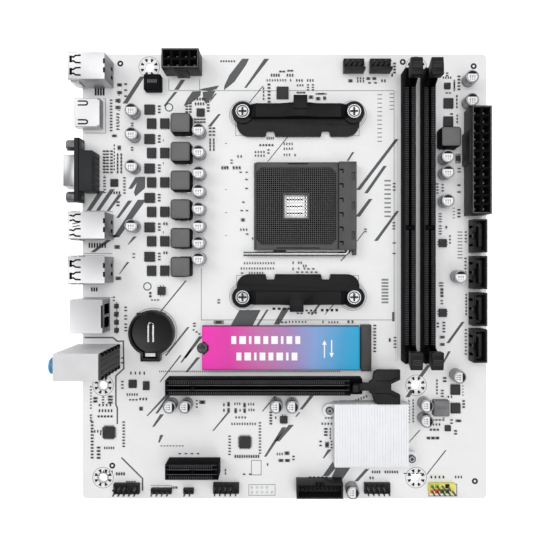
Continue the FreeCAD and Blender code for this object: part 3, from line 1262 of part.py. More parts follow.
    (11.0, 194.8, 5, 1.1, 0.0, 0.5, 1.1), (8.0, 194.6, 4, 0.0, 1.7, 1.8, 0.8),
    (24.0, 157.8, 4, 2.2, 0.0, 0.6, 1.4), (19.8, 162.0, 3, 0.0, 1.6, 1.2, 0.6),
    (22.2, 168.4, 5, 1.2, 0.0, 0.5, 1.2), (23.6, 171.0, 3, 1.6, 0.0, 1.0, 0.6),
    (28.6, 170.6, 3, 1.5, 0.0, 0.7, 1.2), (29.0, 175.4, 1, 0.0, 0.0, 1.8, 1.8),
    # between the card slots
    (59.3, 172.2, 1, 0.0, 0.0, 3.0, 1.6), (56.6, 171.4, 3, 0.0, 1.6, 0.9, 0.6),
    (72.3, 173.2, 2, 0.0, 3.0, 1.2, 2.2), (75.8, 176.4, 1, 0.0, 0.0, 1.2, 2.4),
    (80.2, 173.6, 2, 0.0, 2.8, 1.2, 2.2), (70.0, 173.4, 2, 0.0, 2.8, 0.7, 1.4),
    (75.4, 173.0, 3, 1.2, 0.0, 0.5, 1.2), (82.2, 173.2, 3, 1.2, 0.0, 0.5, 1.2),
    (78.0, 176.2, 1, 0.0, 0.0, 0.5, 1.2), (82.4, 176.0, 3, 1.2, 0.0, 0.5, 1.2),
    (76.0, 179.7, 4, 1.5, 0.0, 0.6, 1.0), (74.0, 182.9, 10, 1.28, 0.0, 0.5, 1.1),
    (87.8, 182.4, 11, 0.0, 1.5, 1.2, 0.5), (72.8, 189.0, 7, 0.0, 1.5, 1.2, 0.5),
    (75.6, 199.0, 11, 1.15, 0.0, 0.7, 1.4), (93.2, 177.2, 5, 0.0, 1.4, 1.4, 0.7),
    (95.6, 179.8, 1, 0.0, 0.0, 0.6, 1.2), (96.4, 197.8, 3, 1.2, 0.0, 0.5, 1.2),
    (101.2, 197.4, 1, 0.0, 0.0, 2.4, 1.6), (98.2, 201.0, 2, 3.2, 0.0, 2.4, 1.3),
    (104.4, 199.0, 2, 0.0, 1.5, 1.2, 0.6), (48.2, 197.6, 4, 3.0, 0.0, 1.2, 0.5),
    # around the chipset
    (120.4, 180.0, 4, 1.4, 0.0, 0.8, 0.6), (118.6, 182.8, 4, 1.5, 0.0, 0.6, 1.1),
    (120.4, 185.4, 3, 0.0, 1.5, 1.8, 0.8), (122.6, 185.4, 4, 0.0, 1.5, 0.6, 0.9),
    (117.8, 191.6, 2, 0.0, 2.0, 1.2, 0.7), (121.0, 193.2, 1, 0.0, 0.0, 1.8, 2.8),
    (123.2, 191.6, 3, 0.0, 1.5, 0.9, 0.6), (143.6, 206.7, 4, 1.15, 0.0, 0.6, 1.2),
    (149.8, 206.7, 6, 1.2, 0.0, 0.6, 1.2), (134.0, 171.8, 6, 1.3, -0.5, 0.6, 1.2),
    (161.6, 171.6, 8, 0.0, 1.5, 0.7, 0.5), (163.6, 171.2, 8, 0.0, 1.5, 0.6, 0.9),
    # lower front corner
    (175.4, 161.4, 5, 0.0, 1.6, 0.7, 0.9), (179.2, 160.2, 2, 0.0, 1.6, 1.8, 0.8),
    (178.0, 166.4, 3, 0.0, 1.4, 1.4, 0.6), (181.0, 169.5, 2, 1.6, 0.0, 0.6, 1.1),
    (188.6, 171.6, 3, 0.0, 1.5, 1.2, 0.8), (173.4, 181.0, 4, 1.7, 0.0, 1.2, 0.6),
    (172.4, 185.8, 3, 1.7, 0.0, 1.2, 0.9), (173.6, 183.2, 3, 1.5, 0.0, 0.6, 1.1),
    (182.6, 181.0, 2, 0.0, 1.5, 1.4, 0.6), (186.0, 181.4, 1, 0.0, 0.0, 2.8, 1.2),
    (171.2, 189.9, 3, 2.2, 0.0, 1.8, 1.2), (184.6, 186.4, 2, 0.0, 1.4, 1.4, 0.7),
    (172.6, 209.2, 4, 2.0, 0.0, 0.7, 1.2),
    (184.6, 209.2, 3, 1.4, 0.0, 0.5, 1.2), (142.4, 209.6, 2, 1.3, 0.0, 0.6, 1.2),
    # by the lower edge headers
    (22.0, 211.4, 4, 1.3, 0.0, 0.9, 0.5), (17.0, 207.6, 4, 1.2, 0.0, 0.7, 1.4),
    (70.8, 205.8, 2, 0.0, 1.6, 0.6, 1.1), (80.0, 207.8, 2, 3.0, 0.0, 1.2, 0.6),
    (91.6, 203.0, 1, 0.0, 0.0, 0.6, 1.2), (44.9, 214.4, 3, 0.9, 0.0, 0.5, 1.2),
]


def build_passives():
    """Rows of tiny resistors and capacitors."""
    solids = []
    for from_rear, from_top, count, step_x, step_y, length, width in PASSIVE_ROWS:
        for k in range(count):
            place = on_board(from_rear + k * step_x, from_top + k * step_y)
            solids.append(brick(length, width, 0.5, place))
    group("smd_passives", solids)


# ------------------------------------------------------------------------ build all

build_board()
build_socket_base()
build_socket_cover()
build_socket_lever()
build_cooler_bracket("cooler_bracket_upper", 1, 0)
build_cooler_bracket("cooler_bracket_lower", -1, 180)
build_backplate()
build_bracket_screws()
for slot, from_rear in (("dimm_slot_inner", 160.3), ("dimm_slot_outer", 169.8)):
    build_dimm_slot(slot, from_rear)
    build_dimm_latch(f"{slot}_upper_latch", from_rear, 1)
    build_dimm_latch(f"{slot}_lower_latch", from_rear, -1)
build_pcie_slot("pcie_x16_slot", PCIE_LEFT, PCIE_X16_FROM_TOP, "pcie_x16_length", True)
build_pcie_slot("pcie_x1_slot", PCIE_LEFT, PCIE_X1_FROM_TOP, "pcie_x1_length", False)
build_pcie_latch()
build_card_connector()
build_card()
build_card_label()
build_card_standoff()
build_chipset()
build_heatsink()
build_heatsink_screws()
build_cell_holder()
build_cell_contacts()
build_power_connector("eps_power_connector", EPS_PLACE, 4, 2, (0.0, -5.2), (6.0, 1.2))
build_power_connector("atx_power_connector", ATX_PLACE, 2, 12, (-5.1, 6.5), (1.2, 15.6))
build_headers()
build_pins()
build_solder()
for number, from_top in enumerate(SATA_PORTS, start=1):
    build_sata_port(f"sata_port_{number}", from_top)
build_usb()
build_video_ports()
build_network_port()
build_audio_jacks()
build_capacitors()
build_chokes()
build_mosfets()
build_chips()
build_passives()

doc.recompute()
for item in doc.Objects:
    if "Invalid" in item.State or "Error" in item.State:
        raise RuntimeError(f"{item.Label} ({item.Name}) failed to build: {item.State}")
for label, thing in nodes.items():
    shape = thing.Shape
    if shape.isNull() or not shape.isValid() or not shape.Solids:
        raise RuntimeError(f"{label} has no valid solid")
for label, thing in nodes.items():
    thing.Shape.exportStep(f"parts/{label}.step")
print(f"{len(nodes)} nodes written")
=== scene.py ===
from itertools import product
from math import cos, pi, radians, sin

import bmesh
import bpy
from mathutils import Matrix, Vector
from mathutils.geometry import tessellate_polygon


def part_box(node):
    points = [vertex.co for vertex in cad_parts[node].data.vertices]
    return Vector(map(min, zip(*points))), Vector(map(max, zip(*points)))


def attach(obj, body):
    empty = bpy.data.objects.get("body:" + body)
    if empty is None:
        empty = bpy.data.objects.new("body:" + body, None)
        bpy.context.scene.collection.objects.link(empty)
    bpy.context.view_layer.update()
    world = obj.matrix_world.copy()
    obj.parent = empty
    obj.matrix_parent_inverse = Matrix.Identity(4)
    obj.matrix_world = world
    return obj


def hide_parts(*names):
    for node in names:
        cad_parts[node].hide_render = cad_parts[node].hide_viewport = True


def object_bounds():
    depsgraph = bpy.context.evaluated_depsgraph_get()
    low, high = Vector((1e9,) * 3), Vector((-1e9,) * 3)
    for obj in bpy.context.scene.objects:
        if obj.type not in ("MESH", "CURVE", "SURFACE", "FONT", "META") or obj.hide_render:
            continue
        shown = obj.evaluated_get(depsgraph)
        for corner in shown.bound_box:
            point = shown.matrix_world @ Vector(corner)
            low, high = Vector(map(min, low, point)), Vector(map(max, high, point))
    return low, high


# Looks of the motherboard. Pieces are built in millimetres and become metres in Piece.mesh.
# Places on the board are (from_rear, from_top, height): distances from its rear edge, from its
# upper edge and above its component side.

MM = 0.001
PER_METRE = 1000
ROOT = "board"
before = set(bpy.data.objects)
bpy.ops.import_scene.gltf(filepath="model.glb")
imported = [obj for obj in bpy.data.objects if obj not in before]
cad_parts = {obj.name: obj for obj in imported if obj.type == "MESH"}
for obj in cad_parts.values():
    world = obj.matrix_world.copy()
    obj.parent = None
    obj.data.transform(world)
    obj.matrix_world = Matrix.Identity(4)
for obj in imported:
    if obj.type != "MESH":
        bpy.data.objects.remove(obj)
cad_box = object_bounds()


def box(node):
    """Lowest and highest corner of a CAD node, in mm."""
    return [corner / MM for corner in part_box(node)]


board_low, board_high = box("pcb")


def at(from_rear, from_top, height=0.0):
    """Point in the frame over a place on the board."""
    return Vector((board_low.x + from_rear, board_high.y - from_top, board_high.z + height))


def foot(low, high):
    """Centre of a box's underside."""
    return Vector(((low.x + high.x) / 2, (low.y + high.y) / 2, low.z))


# ---- flat outlines

def flat(outline):
    """Outline in the frame from pairs of (from_rear, from_top)."""
    return [at(x, y).to_2d()[:] for x, y in outline]


def rectangle(x0, y0, x1, y1):
    return [(x0, y0), (x1, y0), (x1, y1), (x0, y1)]


def ring(x, y, radius, sides=40):
    angles = [2 * pi * k / sides for k in range(sides)]
    return [(x + radius * cos(angle), y + radius * sin(angle)) for angle in angles]


def stroke(points, width):
    """Closed outline of a line of constant width through the given points."""
    path = [Vector(point) for point in points]
    left = []
    right = []
    for k, point in enumerate(path):
        before = (point - path[k - 1]).normalized() if k else None
        after = (path[k + 1] - point).normalized() if k + 1 < len(path) else None
        last = after or before
        along = ((before or after) + last).normalized()
        across = Vector((-along.y, along.x))
        reach = width / 2 / max(0.5, abs(across.dot(Vector((-last.y, last.x)))))
        left.append(tuple(point + across * reach))
        right.append(tuple(point - across * reach))
    return left + right[::-1]


# ---- mesh building

SQUARE = ((0, 0), (1, 0), (1, 1), (0, 1))


def corner_at(axis, side, first, second):
    """Corner of a unit cube: side is its place along the axis."""
    corner = [first, second]
    corner.insert(axis, side)
    return tuple(corner)


def chamfered(low, high, cut):
    """Corners and faces of a box whose edges are cut back."""
    corners = list(product((0, 1), repeat=3))
    points = []
    index = {}
    for corner, axis in product(corners, range(3)):
        point = [high[k] if corner[k] else low[k] for k in range(3)]
        for other in range(3):
            if other != axis:
                point[other] += -cut if corner[other] else cut
        index[corner, axis] = len(points)
        points.append(point)
    faces = [[index[corner, axis] for axis in range(3)] for corner in corners]
    for axis in range(3):
        b, c = [k for k in range(3) if k != axis]
        for side in (0, 1):
            faces.append([index[corner_at(axis, side, *spot), axis] for spot in SQUARE])
        for spot in SQUARE:
            one, two = corner_at(axis, 0, *spot), corner_at(axis, 1, *spot)
            faces.append([index[one, b], index[one, c], index[two, c], index[two, b]])
    return points, faces


class Piece:
    """A mesh under construction: points, faces and the number of each face's material."""

    def __init__(self):
        self.points = []
        self.faces = []
        self.tints = []

    def add(self, points, faces, tint=0):
        start = len(self.points)
        self.points += [tuple(point) for point in points]
        self.faces += [tuple(start + k for k in face) for face in faces]
        self.tints += tint if isinstance(tint, list) else [tint] * len(faces)

    def block(self, low, high, tint=0, cut=0.04):
        """Box between two corners; cut is its chamfer."""
        low, high = [list(map(pick, low, high)) for pick in (min, max)]
        smallest = min(b - a for a, b in zip(low, high))
        self.add(*chamfered(low, high, min(cut, smallest * 0.3)), tint)

    def slab(self, x, y, half_x, half_y, bottom, top, tint=0, cut=0.04):
        """Box about a place in the plane."""
        self.block((x - half_x, y - half_y, bottom), (x + half_x, y + half_y, top), tint, cut)

    def prism(self, outline, bottom, top, tint=0, holes=()):
        """Straight prism over a flat outline; holes are outlines too."""
        loops = [outline, *holes]
        plane = [point for loop in loops for point in loop]
        count = len(plane)
        caps = [range(count)]
        if holes:
            caps = tessellate_polygon([[Vector((x, y, 0)) for x, y in loop] for loop in loops])
        faces = [tuple(face) for face in caps]
        faces += [tuple(count + k for k in reversed(face)) for face in caps]
        start = 0
        for loop in loops:
            size = len(loop)
            for k in range(size):
                a, b = start + k, start + (k + 1) % size
                faces.append((a, b, count + b, count + a))
            start += size
        self.add([(x, y, z) for z in (bottom, top) for x, y in plane], faces, tint)

    def lathe(self, centre, profile, tint=0, sides=24, axis=(0, 0, 1)):
        """Turned form about an axis; the profile is pairs of (radius, height)."""
        turn = Vector((0, 0, 1)).rotation_difference(Vector(axis))
        points = []
        rings = []
        for radius, height in profile:
            rings.append(range(len(points), len(points) + (sides if radius else 1)))
            for x, y in ring(0, 0, radius, sides)[:len(rings[-1])]:
                points.append(centre + turn @ Vector((x, y, height)))
        faces = []
        tints = []
        for number, (low, high) in enumerate(zip(rings, rings[1:])):
            for k in range(sides):
                after = (k + 1) % sides
                face = [low[k % len(low)], low[after % len(low)],
                        high[after % len(high)], high[k % len(high)]]
                faces.append(tuple(dict.fromkeys(face)))
                tints.append(tint[number] if isinstance(tint, list) else tint)
        self.add(points, faces, tints)

    def tube(self, path, radius, sides=16):
        """Round bar along a line of points."""
        points = []
        side = None
        for k, point in enumerate(path):
            ahead = (path[min(k + 1, len(path) - 1)] - path[max(k - 1, 0)]).normalized()
            side = side or ahead.orthogonal().normalized()
            side = (side - ahead * side.dot(ahead)).normalized()
            up = ahead.cross(side)
            points += [point + side * x + up * y for x, y in ring(0, 0, radius, sides)]
        faces = [tuple(range(sides)), tuple(range(len(points) - sides, len(points)))]
        for k, j in product(range(len(path) - 1), range(sides)):
            a, b = k * sides + j, k * sides + (j + 1) % sides
            faces.append((a, b, b + sides, a + sides))
        self.add(points, faces)

    def mesh(self, name, materials):
        """Blender mesh of the collected faces, in metres.

        Rounding to a tenth of a micrometre keeps faces exactly flush with the CAD faces they meet."""
        points = [[round(value * MM, 7) for value in point] for point in self.points]
        mesh = bpy.data.meshes.new(name)
        mesh.from_pydata(points, [], self.faces)
        for material in materials:
            mesh.materials.append(material)
        mesh.polygons.foreach_set("material_index", self.tints)
        work = bmesh.new()
        work.from_mesh(mesh)
        bmesh.ops.recalc_face_normals(work, faces=work.faces)
        work.to_mesh(mesh)
        work.free()
        return mesh

    def build(self, name, materials, replaces=(), body=ROOT, smooth=32):
        """Turn the collected faces into an object that rides on a body."""
        return show(name, self.mesh(name, materials), replaces, body, smooth)


def show(name, mesh, replaces, body, smooth):
    mesh.shade_smooth()
    mesh.set_sharp_from_angle(angle=radians(smooth))
    thing = bpy.data.objects.new(name, mesh)
    bpy.context.scene.collection.objects.link(thing)
    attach(thing, body)
    if replaces:
        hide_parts(*replaces)
    return thing


def cad_mesh(node):
    """Welded copy of a CAD node's mesh, open for editing, in metres."""
    work = bmesh.new()
    work.from_mesh(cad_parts[node].data)
    bmesh.ops.remove_doubles(work, verts=work.verts, dist=2e-6)
    return work


def islands(node):
    """Lowest and highest corners of the separate solids of a node, in mm."""
    work = cad_mesh(node)
    seen = set()
    boxes = []
    for first in work.verts:
        if first in seen:
            continue
        seen.add(first)
        stack = [first]
        solid = []
        while stack:
            point = stack.pop()
            solid.append(point.co * PER_METRE)
            fresh = {edge.other_vert(point) for edge in point.link_edges} - seen
            seen |= fresh
            stack += fresh
        boxes.append([Vector(map(pick, *solid)) for pick in (min, max)])
    work.free()
    return boxes


def softened(node, slot, width, *materials, body=ROOT, paint=None, sink=0.0):
    """Copy of a CAD node with edges rounded to a width.

    paint picks a material number from a face; sink lowers the topmost faces a little, which
    leaves room under the CAD height for marks and slits on them."""
    work = cad_mesh(node)
    bmesh.ops.dissolve_limit(work, angle_limit=radians(0.8), verts=work.verts, edges=work.edges)
    sharp = [edge for edge in work.edges
             if len(edge.link_faces) == 2 and edge.calc_face_angle(0) > radians(35)]
    bmesh.ops.bevel(work, geom=sharp, offset=width * MM, segments=2, profile=0.5,
                    affect="EDGES", clamp_overlap=True)
    bmesh.ops.recalc_face_normals(work, faces=work.faces)
    summit = max(point.co.z for point in work.verts) - 0.002 * MM
    for point in work.verts:
        if point.co.z > summit:
            point.co.z -= sink * MM
    for face in work.faces if paint else ():
        face.material_index = paint(face)
    mesh = bpy.data.meshes.new(node + "_detail")
    work.to_mesh(mesh)
    work.free()
    for material in materials:
        mesh.materials.append(material)
    return show(node + "_detail", mesh, [node], body, 40)


def paint_cad(node, material):
    """A CAD node that keeps its own shape gets a material."""
    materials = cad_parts[node].data.materials
    materials.clear()
    materials.append(material)


# ---- materials

def adjust(node, **values):
    """Set inputs of a shader node; underscores stand for the spaces in their names."""
    for name, value in values.items():
        node.inputs[name.replace("_", " ")].default_value = value
    return node


def added(tree, kind, **values):
    return adjust(tree.nodes.new("ShaderNode" + kind), **values)


def colour_ramp(tree, *stops):
    """Colour ramp from pairs of position and colour."""
    ramp = added(tree, "ValToRGB")
    elements = ramp.color_ramp.elements
    while len(elements) < len(stops):
        elements.new(0.5)
    for element, (position, colour) in zip(elements, stops):
        element.position = position
        element.color = (*colour, 1)
    return ramp


def surface(name, colour, rough=0.5, metal=0.0, uneven=0.12, grain=1500.0, bump=0.12,
            coat=0.0, shine=0.5, stretch=(1, 1, 1)):
    """Principled surface with uneven tone, uneven gloss and a fine grain."""
    material = bpy.data.materials.new(name)
    material.use_nodes = True
    tree = material.node_tree
    link = tree.links.new
    shader = adjust(tree.nodes["Principled BSDF"], Metallic=metal, Specular_IOR_Level=shine,
                    Coat_Weight=coat, Coat_Roughness=0.12)
    place = added(tree, "TexCoord")
    mapping = added(tree, "Mapping", Scale=stretch)
    broad = added(tree, "TexNoise", Scale=grain / 10, Detail=4)
    fine = added(tree, "TexNoise", Scale=grain, Detail=6)
    tone = colour_ramp(tree, (0.3, [c * (1 - uneven) for c in colour]),
                       (0.7, [min(1, c * (1 + uneven)) for c in colour]))
    gloss = added(tree, "MapRange", To_Min=max(0.02, rough - 0.08), To_Max=min(1.0, rough + 0.08))
    relief = added(tree, "Bump", Strength=bump, Distance=0.00004)
    link(place.outputs["Object"], mapping.inputs["Vector"])
    for noise in (broad, fine):
        link(mapping.outputs["Vector"], noise.inputs["Vector"])
    link(broad.outputs["Fac"], tone.inputs["Fac"])
    link(tone.outputs["Color"], shader.inputs["Base Color"])
    link(fine.outputs["Fac"], gloss.inputs["Value"])
    link(gloss.outputs["Result"], shader.inputs["Roughness"])
    link(fine.outputs["Fac"], relief.inputs["Height"])
    link(relief.outputs["Normal"], shader.inputs["Normal"])
    return material


def board_mask():
    """White solder mask: faint buried tracks show through the lacquer."""
    material = surface("white_solder_mask", (0.755, 0.755, 0.762), rough=0.42, uneven=0.02,
                       grain=900, bump=0.05)
    tree = material.node_tree
    link = tree.links.new
    base = tree.nodes["Principled BSDF"].inputs["Base Color"]
    tone = base.links[0].from_socket
    tracks = added(tree, "TexBrick", Scale=160, Mortar_Size=0.006, Color1=(1, 1, 1, 1),
                   Color2=(0.992, 0.992, 0.992, 1), Mortar=(0.955, 0.957, 0.96, 1))
    link(tree.nodes["Texture Coordinate"].outputs["Object"], tracks.inputs["Vector"])
    blend = added(tree, "Mix", Factor=1.0)
    blend.data_type = "RGBA"
    blend.blend_type = "MULTIPLY"
    link(tone, blend.inputs[6])
    link(tracks.outputs["Color"], blend.inputs[7])
    link(blend.outputs[2], base)
    return material


def label_film():
    """Printed film that runs from magenta over lavender to cyan, slightly creased."""
    material = surface("card_label_film", (0.5, 0.5, 0.5), rough=0.42, grain=260, bump=0.5,
                       coat=0.05, shine=0.15)
    tree = material.node_tree
    link = tree.links.new
    place = tree.nodes["Texture Coordinate"].outputs["Object"]
    low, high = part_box("m2_card_label")
    split = added(tree, "SeparateXYZ")
    along = added(tree, "MapRange", From_Min=low.x, From_Max=high.x)
    cloud = added(tree, "TexNoise", Scale=45, Detail=3)
    drift = added(tree, "Math")
    drift.operation = "MULTIPLY_ADD"
    drift.inputs[1].default_value = 0.16
    back = added(tree, "Math")
    back.operation = "SUBTRACT"
    back.inputs[1].default_value = 0.08
    ramp = colour_ramp(tree, (0.0, (0.80, 0.04, 0.42)), (0.16, (0.67, 0.05, 0.36)),
                       (0.38, (0.50, 0.16, 0.38)), (0.55, (0.35, 0.22, 0.46)),
                       (0.72, (0.20, 0.33, 0.60)), (0.88, (0.05, 0.32, 0.57)),
                       (1.0, (0.01, 0.33, 0.57)))
    link(place, split.inputs["Vector"])
    link(place, cloud.inputs["Vector"])
    link(split.outputs["X"], along.inputs["Value"])
    link(cloud.outputs["Fac"], drift.inputs[0])
    link(along.outputs["Result"], drift.inputs[2])
    link(drift.outputs["Value"], back.inputs[0])
    link(back.outputs["Value"], ramp.inputs["Fac"])
    link(ramp.outputs["Color"], tree.nodes["Principled BSDF"].inputs["Base Color"])
    return material


MASK = board_mask()
INK = surface("grey_print", (0.098, 0.100, 0.103), rough=0.6, uneven=0.10, grain=900, shine=0.2)
BOLD_INK = surface("black_print", (0.020, 0.020, 0.022), rough=0.6, uneven=0.2, shine=0.2)
FINE_INK = surface("light_grey_print", (0.22, 0.223, 0.226), rough=0.55, uneven=0.08, grain=900,
                   shine=0.3)
PALE_INK = surface("pale_print", (0.60, 0.605, 0.61), rough=0.55, uneven=0.06, grain=900)
SOLDER = surface("solder", (0.62, 0.63, 0.64), rough=0.28, metal=1.0, grain=900)
DARK_PIN = surface("dark_pin", (0.075, 0.075, 0.078), rough=0.35, metal=0.8, grain=1200)
TIN = surface("tinned_lead", (0.70, 0.70, 0.71), rough=0.26, metal=1.0, grain=1200)
END_CAP = surface("part_end_cap", (0.15, 0.15, 0.155), rough=0.36, metal=0.9, grain=1200)
EDGE_SHADE = surface("edge_shade", (0.16, 0.16, 0.165), rough=0.5, metal=0.4, uneven=0.15)
# Lighter copy of the black nylon for rims, edges and lines: painted highlight.
RIM_HIGHLIGHT = surface("painted_rim_highlight", (0.08, 0.08, 0.083), rough=0.5, uneven=0.15, shine=0.3)
# Dark colour for the cross recesses and rings on the bracket screw heads: painted shade.
RECESS_SHADE = surface("painted_recess_shade", (0.045, 0.045, 0.047), rough=0.5, uneven=0.2, shine=0.2)
STEEL = surface("polished_steel", (0.27, 0.275, 0.28), rough=0.26, metal=1.0, uneven=0.12,
                grain=700)
NICKEL = surface("nickel_sheet", (0.53, 0.53, 0.54), rough=0.42, metal=0.85, uneven=0.03,
                 grain=500, bump=0.01)
DULL_NICKEL = surface("dull_nickel", (0.13, 0.13, 0.135), rough=0.5, metal=0.9, uneven=0.2)
PLATE = surface("zinc_plate", (0.42, 0.43, 0.45), rough=0.38, metal=1.0, uneven=0.10, grain=400)
GOLD = surface("gold_flash", (0.80, 0.58, 0.24), rough=0.25, metal=1.0, grain=1200)
BLACK = surface("black_nylon", (0.009, 0.009, 0.010), rough=0.48, uneven=0.25, shine=0.2)
DEEP = surface("shadowed_black", (0.003, 0.003, 0.003), rough=0.8, uneven=0.3, shine=0.05)
SLOT_BLACK = surface("slot_nylon", (0.003, 0.003, 0.004), rough=0.6, uneven=0.25, shine=0.02)
RIB = surface("slot_rib", (0.045, 0.045, 0.047), rough=0.5, uneven=0.15, shine=0.2)
LATCH = surface("latch_nylon", (0.011, 0.011, 0.012), rough=0.55, uneven=0.2, shine=0.2)
# Lighter copy of the bracket nylon for the upward faces of the upper bracket's flange: painted light.
BRACKET_BASE_LIT = surface("bracket_base_painted_light", (0.014, 0.014, 0.015), rough=0.5, uneven=0.3, grain=400,
                       shine=0.15)
BRACKET = surface("bracket_nylon", (0.004, 0.004, 0.005), rough=0.5, uneven=0.16, grain=2200,
                  shine=0.16)
SOCKET = surface("socket_resin", (0.068, 0.068, 0.070), rough=0.55, uneven=0.08, grain=2200,
                 shine=0.25)
SOCKET_RIM = surface("socket_rim_resin", (0.062, 0.062, 0.064), rough=0.5, uneven=0.1, shine=0.3)
EPOXY = surface("moulded_epoxy", (0.024, 0.024, 0.026), rough=0.6, uneven=0.14, grain=2500,
                shine=0.3)
EPOXY_MARK = surface("package_mark", (0.10, 0.10, 0.105), rough=0.6, uneven=0.1)
FERRITE = surface("choke_top", (0.120, 0.120, 0.122), rough=0.55, uneven=0.06, grain=2200,
                  shine=0.3)
# Much darker copy of the ferrite for the sides of the big chokes, as painted shade; the small chokes nearer
# the rear take it as their own black colour.
SIDE_SHADE_AND_BLACK_FERRITE = surface("choke_side", (0.006, 0.006, 0.007), rough=0.6, uneven=0.2, grain=2200,
                       shine=0.05)
GREY_FERRITE = surface("small_choke", (0.16, 0.16, 0.165), rough=0.6, uneven=0.12)
ALUMINIUM = surface("drawn_can", (0.30, 0.30, 0.31), rough=0.34, metal=0.9, uneven=0.08,
                    stretch=(1, 1, 0.08))
CAN_TOP = surface("can_top", (0.70, 0.70, 0.71), rough=0.45, metal=0.15, uneven=0.04)
# Black of the printed sector on the cans, also used as painted shade in the groove round the top.
CAN_PRINT_AND_GROOVE_SHADE = surface("can_print_and_groove_shade", (0.008, 0.008, 0.009), rough=0.5, uneven=0.2, shine=0.15)
CAN_MARK = surface("can_mark", (0.10, 0.10, 0.105), rough=0.5, uneven=0.1)
HEATSINK = surface("white_powder_coat", (0.80, 0.81, 0.83), rough=0.5, uneven=0.02, grain=2500,
                   bump=0.2)
CARD = surface("card_mask", (0.012, 0.013, 0.016), rough=0.4, uneven=0.2, shine=0.25)
BROWN = surface("connector_resin", (0.040, 0.036, 0.035), rough=0.5, uneven=0.15, shine=0.3)
FILM = label_film()
WHITE_INK = surface("white_ink", (0.86, 0.86, 0.88), rough=0.45, uneven=0.03)
BRASS = surface("plated_brass", (0.55, 0.50, 0.38), rough=0.3, metal=1.0)
GREY_STEEL = surface("grey_screw", (0.06, 0.06, 0.063), rough=0.42, metal=0.9, uneven=0.1)
GLOSS_BLACK = surface("gloss_black_resin", (0.005, 0.005, 0.006), rough=0.34, uneven=0.3,
                      bump=0.03, shine=0.22)
SPRING = surface("spring_contact", (0.82, 0.80, 0.76), rough=0.22, metal=1.0, uneven=0.05)
AUDIO = surface("audio_resin", (0.60, 0.60, 0.61), rough=0.5, uneven=0.04)
AUDIO_BACK = surface("audio_back_resin", (0.045, 0.045, 0.047), rough=0.55, uneven=0.1, shine=0.3)
# Darker copies of the cover nickel for the back and side faces of the port covers: painted shade.
PORT_BACK_SHADE = surface("port_back_painted_shade", (0.24, 0.24, 0.25), rough=0.42, metal=0.6, uneven=0.06)
PORT_SIDE_SHADE = surface("port_side_painted_shade", (0.50, 0.50, 0.51), rough=0.4, metal=0.8, uneven=0.05)
DULL_FRONT = surface("dull_front_metal", (0.30, 0.30, 0.31), rough=0.3, metal=0.95, uneven=0.06)
NUT_METAL = surface("nut_metal", (0.12, 0.12, 0.125), rough=0.4, metal=0.9, uneven=0.2)
VGA_BLUE = surface("video_resin", (0.012, 0.013, 0.016), rough=0.5, uneven=0.2, shine=0.2)
PORT_BLUE = surface("port_blue_resin", (0.02, 0.14, 0.46), rough=0.45, uneven=0.1)
JACK_BLUE = surface("jack_blue", (0.035, 0.20, 0.38), rough=0.4, uneven=0.06)
JACK_GREEN = surface("jack_green", (0.10, 0.40, 0.10), rough=0.4, uneven=0.06)
JACK_PINK = surface("jack_pink", (0.62, 0.16, 0.24), rough=0.4, uneven=0.06)
CERAMIC = surface("dark_ceramic", (0.040, 0.036, 0.033), rough=0.55, uneven=0.25, shine=0.25)
RESISTOR = surface("resistor_glaze", (0.014, 0.014, 0.016), rough=0.45, uneven=0.2, shine=0.25)
YELLOW = surface("panel_yellow", (0.78, 0.72, 0.16), rough=0.5, uneven=0.06)
LIME = surface("panel_lime", (0.36, 0.50, 0.03), rough=0.5, uneven=0.06)
DARK_GREEN = surface("panel_dark_green", (0.02, 0.10, 0.05), rough=0.5, uneven=0.1)
RED = surface("panel_red", (0.62, 0.06, 0.03), rough=0.5, uneven=0.08)
ORANGE = surface("panel_orange", (0.80, 0.26, 0.06), rough=0.5, uneven=0.06)


# ---- the board

